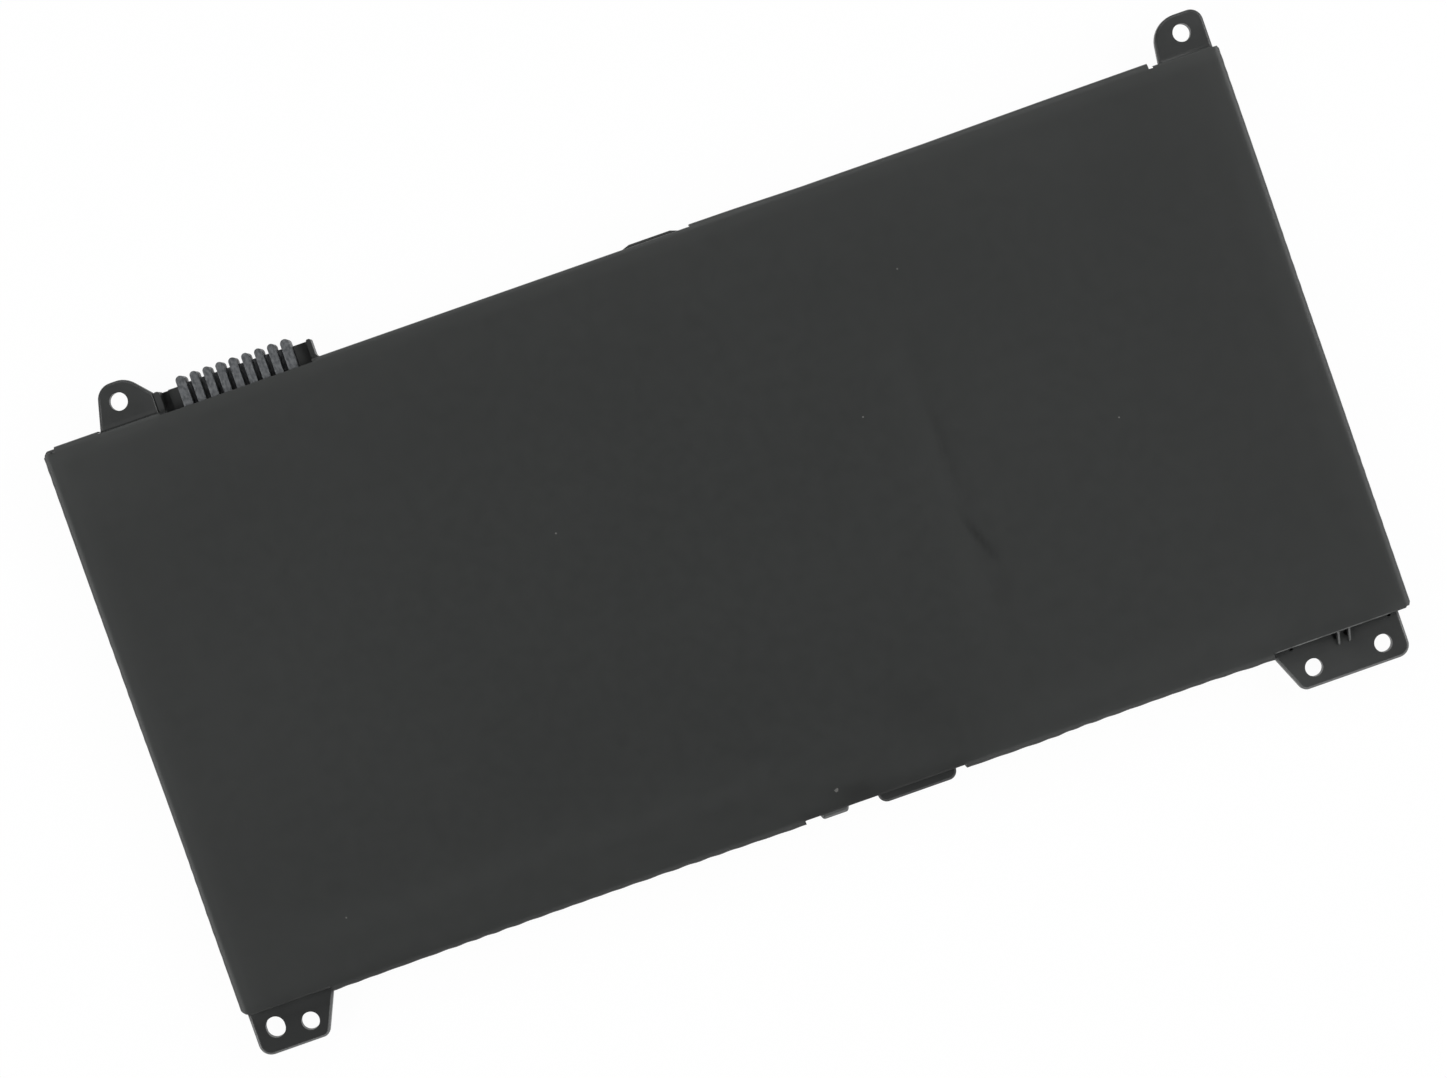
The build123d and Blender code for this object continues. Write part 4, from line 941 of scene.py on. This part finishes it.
# The small lug gets a painted highlight. The roots of three ears are painted paler to lift the shade that
# falls under the wall. The upper rounded edge gets a painted shade, and the upper lug and the pocket's floor
# are painted paler.
painted_light_places = {
    "small lug": (
        1.00, fade(x, (-2.2, -1.6), (4.0, 4.6)) * fade(y, down=(-54.85, -54.6)) * (z < UPPER_EAR_TOP[1])
    ),
    "root of the upper left ear": (
        0.26, fade(y, down=(55.3, 56.8)) * (y > 54.9) * inside(x, -103.3, -92) * on_upper_ear
    ),
    "root of the upper right ear": (0.07, fade(y, down=(55.0, 57.4)) * (y > 54.5) * (x > 101) * on_upper_ear),
    "root of the lower left ear": (0.28, fade(y, (-57.8, -55.0)) * (y < -54.5) * (x < -96.5) * on_lower_ear),
    "upper lug": (0.40, fade(x, (-3.0, -2.0), (9.5, 10.5)) * fade(y, (55.35, 55.5))),
    "upper rounded edge": (-0.40, fade(y, (54.6, 55.0), (55.32, 55.4)) * fade(z, (5.0, 6.0))),
    "pocket of the receptacle": (
        0.28, fade(x, (-90, -89), (-62.2, -62.0)) * fade(y, (54.0, 54.5)) * fade(z, down=(4.0, 4.4))
    ),
}
for amount, share in painted_light_places.values():
    painted_lighting = painted_lighting + amount * share
store(moulded_frame, "painted_lighting", np.clip(painted_lighting, 0, PAINTED_LIGHTING_MAX))
# The gusset ribs are painted pale all over, as a painted highlight on their crests.
for piece in gusset_ribs:
    store(piece, "painted_lighting", np.full(len(piece.data.vertices), RIB_HIGHLIGHT))
    piece.data.materials.append(frame_finish)
print("frame worn from", painted_lighting.min().round(2), "to", painted_lighting.max().round(2))

# %% [markdown]
# ## The comb's finish
# The comb is a blue-grey plastic, paler than the frame, with the streaks of flow that a filled plastic
# shows along its ribs. Noise stretched along Y makes the streaks.

# %% Comb's finish
COMB_DARK = (0.052, 0.056, 0.060)
COMB_PALE = (0.122, 0.127, 0.133)
COMB_ROUGH = (0.46, 0.58)
STREAK_SIZE, FIBRE_SIZE = 0.45, 0.12
STREAK_STRETCH, FIBRE_STRETCH = (1, 0.55, 1), (1, 0.35, 1)
STREAK_HEIGHT, FIBRE_HEIGHT = 0.020, 0.006
comb_finish = new_finish("comb_grey_plastic", COMB_DARK, COMB_ROUGH[0])
streaks = grain(comb_finish, STREAK_SIZE, detail=3.0, stretch=STREAK_STRETCH)
fibres = grain(comb_finish, FIBRE_SIZE, stretch=FIBRE_STRETCH)
comb_tone = tint(comb_finish, spread(comb_finish, streaks, *TONE_RANGE, 0, 1), COMB_DARK, COMB_PALE)
into_shader(comb_finish, comb_tone, "Base Color")
into_shader(comb_finish, spread(comb_finish, fibres, *ROUGH_RANGE, *COMB_ROUGH), "Roughness")
raise_grain(comb_finish, (streaks, STREAK_HEIGHT), (fibres, FIBRE_HEIGHT))
comb.data.materials.append(comb_finish)
print("comb finish:", len(comb_finish.node_tree.nodes), "nodes")

# %% [markdown]
# ## The finish of the inner pieces
# Inside lie the cells, their tabs and the protection board. They show only when a film comes off, but
# each still gets the finish of its own stuff: laminated foil with a fine emboss, brushed nickel and
# aluminium, a green board, black epoxy, pale ceramic, foam and tape. One function covers them all, since
# each is two tones, a range of roughness and a bump at its own scale.

# %% Inner pieces' finish
COARSER = 6


def two_tone(name, dark, pale, rough, size, height, metallic=0.0, stretch=(1, 1, 1)):
    """A finish that wanders between two tones and two roughnesses, with a bump of a size and height."""
    material = new_finish(name, dark, rough[0], metallic)
    coarse = grain(material, size * COARSER, detail=3.0, stretch=stretch)
    fine = grain(material, size, stretch=stretch)
    tone = tint(material, spread(material, coarse, *TONE_RANGE, 0, 1), dark, pale)
    into_shader(material, tone, "Base Color")
    into_shader(material, spread(material, fine, *ROUGH_RANGE, *rough), "Roughness")
    raise_grain(material, (fine, height))
    return material


BRUSHED = (1, 0.1, 1)
inner_finishes = {
    "contact_": two_tone(
        "contact_tin", (0.55, 0.46, 0.30), (0.68, 0.58, 0.40), (0.22, 0.34), 0.12, 0.002, 1.0, BRUSHED
    ),
    "cell_tape_": two_tone("cell_tape", (0.62, 0.60, 0.54), (0.74, 0.72, 0.66), (0.45, 0.60), 0.4, 0.010),
    "cell_": two_tone(
        "pouch_foil", (0.45, 0.46, 0.47), (0.56, 0.57, 0.58), (0.36, 0.48), 0.30, 0.010, 0.8
    ),
    "foam_sheet_": two_tone(
        "foam_grey", (0.030, 0.031, 0.032), (0.055, 0.056, 0.058), (0.85, 0.95), 0.25, 0.060
    ),
    "tab_seal_": two_tone("tab_seal_film", (0.52, 0.46, 0.34), (0.64, 0.58, 0.46), (0.30, 0.42), 0.5, 0.006),
    "_positive": two_tone(
        "tab_aluminium", (0.76, 0.77, 0.78), (0.86, 0.87, 0.88), (0.25, 0.38), 0.15, 0.002, 1.0, BRUSHED
    ),
    "tab_": two_tone(
        "tab_nickel", (0.58, 0.55, 0.50), (0.68, 0.65, 0.60), (0.24, 0.36), 0.15, 0.002, 1.0, BRUSHED
    ),
    "weld_plate_": two_tone(
        "weld_plate_nickel", (0.56, 0.53, 0.48), (0.66, 0.63, 0.58), (0.28, 0.42), 0.2, 0.004, 1.0
    ),
    "circuit_board": two_tone(
        "board_mask", (0.010, 0.075, 0.035), (0.014, 0.105, 0.050), (0.28, 0.40), 0.5, 0.008
    ),
    "chip": two_tone(
        "chip_epoxy", (0.016, 0.016, 0.017), (0.028, 0.028, 0.029), (0.48, 0.60), 0.08, 0.003
    ),
    "ceramic": two_tone("chip_ceramic", (0.36, 0.27, 0.17), (0.46, 0.36, 0.24), (0.35, 0.50), 0.06, 0.002),
}
CERAMICS = ("chemical_fuse", "thermistor", "chip_capacitors")


def inner_finish(node):
    """The finish of an inner piece, by its node's name."""
    if node in CERAMICS:
        return inner_finishes["ceramic"]
    if node.startswith("tab_") and node.endswith("_positive") and "seal" not in node:
        return inner_finishes["_positive"]
    for start, material in inner_finishes.items():
        if node.startswith(start):
            return material
    return inner_finishes["chip"]


dressed = 0
for node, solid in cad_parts.items():
    if not solid.hide_render:
        solid.data.materials.clear()
        solid.data.materials.append(inner_finish(node))
        dressed += 1
print("inner pieces dressed:", dressed)

# %% [markdown]
# ## Floor
# The pack lies on a plain pale floor. To the camera the floor is almost pure white, so the pack stands
# out as a cut-out with only a breath of shadow; to the light it is ordinary pale board that bounces some
# light back up. Seen from below it lets the view through, so the underside can be looked at too. It is
# set a metre to one side, so that the line between its two triangles doesn't run under the pack.

# %% Floor
FLOOR_SIZE = 6.0
FLOOR_DROP = 0.4
FLOOR_SHIFT = 1.0
FLOOR_GLOW = 0.97
FLOOR_TONE = (0.85, 0.85, 0.85, 1)
bpy.ops.object.select_all(action="DESELECT")
bpy.ops.mesh.primitive_plane_add(size=FLOOR_SIZE, location=(FLOOR_SHIFT, 0, -FLOOR_DROP * MM))
floor = bpy.context.active_object
floor.name = "floor"
floor_paint = bpy.data.materials.new("floor_pale")
floor_paint.use_nodes = True
floor_nodes = floor_paint.node_tree.nodes
floor_nodes.clear()
output = floor_nodes.new("ShaderNodeOutputMaterial")
board = add_node(floor_paint, "ShaderNodeBsdfDiffuse", Color=FLOOR_TONE)
glow = add_node(floor_paint, "ShaderNodeEmission", Color=(1, 1, 1, 1), Strength=1.0)
clear = add_node(floor_paint, "ShaderNodeBsdfTransparent")
rays = add_node(floor_paint, "ShaderNodeLightPath")
facing = add_node(floor_paint, "ShaderNodeNewGeometry")


def mixed(share, first, second):
    """Two shaders mixed by a share."""
    node = add_node(floor_paint, "ShaderNodeMixShader")
    wire(floor_paint, share, node.inputs[0])
    wire(floor_paint, first.outputs[0], node.inputs[1])
    wire(floor_paint, second.outputs[0], node.inputs[2])
    return node


mirrored = combine(floor_paint, "MAXIMUM", rays.outputs["Is Glossy Ray"], rays.outputs["Is Transmission Ray"])
seen = combine(floor_paint, "MAXIMUM", rays.outputs["Is Camera Ray"], mirrored)
above = mixed(combine(floor_paint, "MULTIPLY", seen, FLOOR_GLOW), board, glow)
passing = combine(floor_paint, "MAXIMUM", facing.outputs["Backfacing"], rays.outputs["Is Shadow Ray"])
wire(floor_paint, mixed(passing, above, clear).outputs[0], output.inputs["Surface"])
floor.data.materials.append(floor_paint)
print("floor at z", -FLOOR_DROP, "mm")

# %% [markdown]
# ## Light
# Soft boxes stand to the left and right of the pack, with weaker ones in front and behind, so each rolled
# edge catches a pale line and the flat film stays even. The world adds a little, more from the horizon
# than from overhead, because a dark, slightly glossy sheet mirrors whatever hangs above it. To the camera
# alone the world is white.

# %% Light
LAMPS = [
    ("left_box", (-700, -60, 420), (500, 500), 4.4),
    ("right_box", (720, 60, 420), (500, 500), 4.9),
    ("front_box", (120, -720, 420), (700, 400), 2.8),
    ("back_box", (60, 760, 520), (700, 400), 3.8),
]
for lamp_name, spot, panel, power in LAMPS:
    lamp_data = bpy.data.lights.new(lamp_name, "AREA")
    lamp_data.shape = "RECTANGLE"
    lamp_data.size, lamp_data.size_y = (length * MM for length in panel)
    lamp_data.energy = power
    lamp = bpy.data.objects.new(lamp_name, lamp_data)
    lamp.location = Vector(spot) * MM
    lamp.rotation_euler = (-Vector(spot)).to_track_quat("-Z", "Y").to_euler()
    bpy.context.scene.collection.objects.link(lamp)

HORIZON, ZENITH = 0.0407, 0.0214
world = bpy.data.worlds.new("studio")
bpy.context.scene.world = world
world.use_nodes = True
sky = world.node_tree.nodes
background = sky["Background"]
background.inputs["Color"].default_value = (1, 1, 1, 1)
direction = sky.new("ShaderNodeTexCoord")
parts = sky.new("ShaderNodeSeparateXYZ")
dome = sky.new("ShaderNodeMapRange")
dome.inputs["To Min"].default_value = HORIZON
dome.inputs["To Max"].default_value = ZENITH
sky_rays = sky.new("ShaderNodeLightPath")
white = sky.new("ShaderNodeMix")
white.inputs["B"].default_value = 1.0
links = world.node_tree.links
links.new(direction.outputs["Generated"], parts.inputs["Vector"])
links.new(parts.outputs["Z"], dome.inputs["Value"])
links.new(sky_rays.outputs["Is Camera Ray"], white.inputs["Factor"])
links.new(dome.outputs["Result"], white.inputs["A"])
links.new(white.outputs["Result"], background.inputs["Strength"])
print("lamps:", len(LAMPS), "world from", HORIZON, "to", ZENITH)
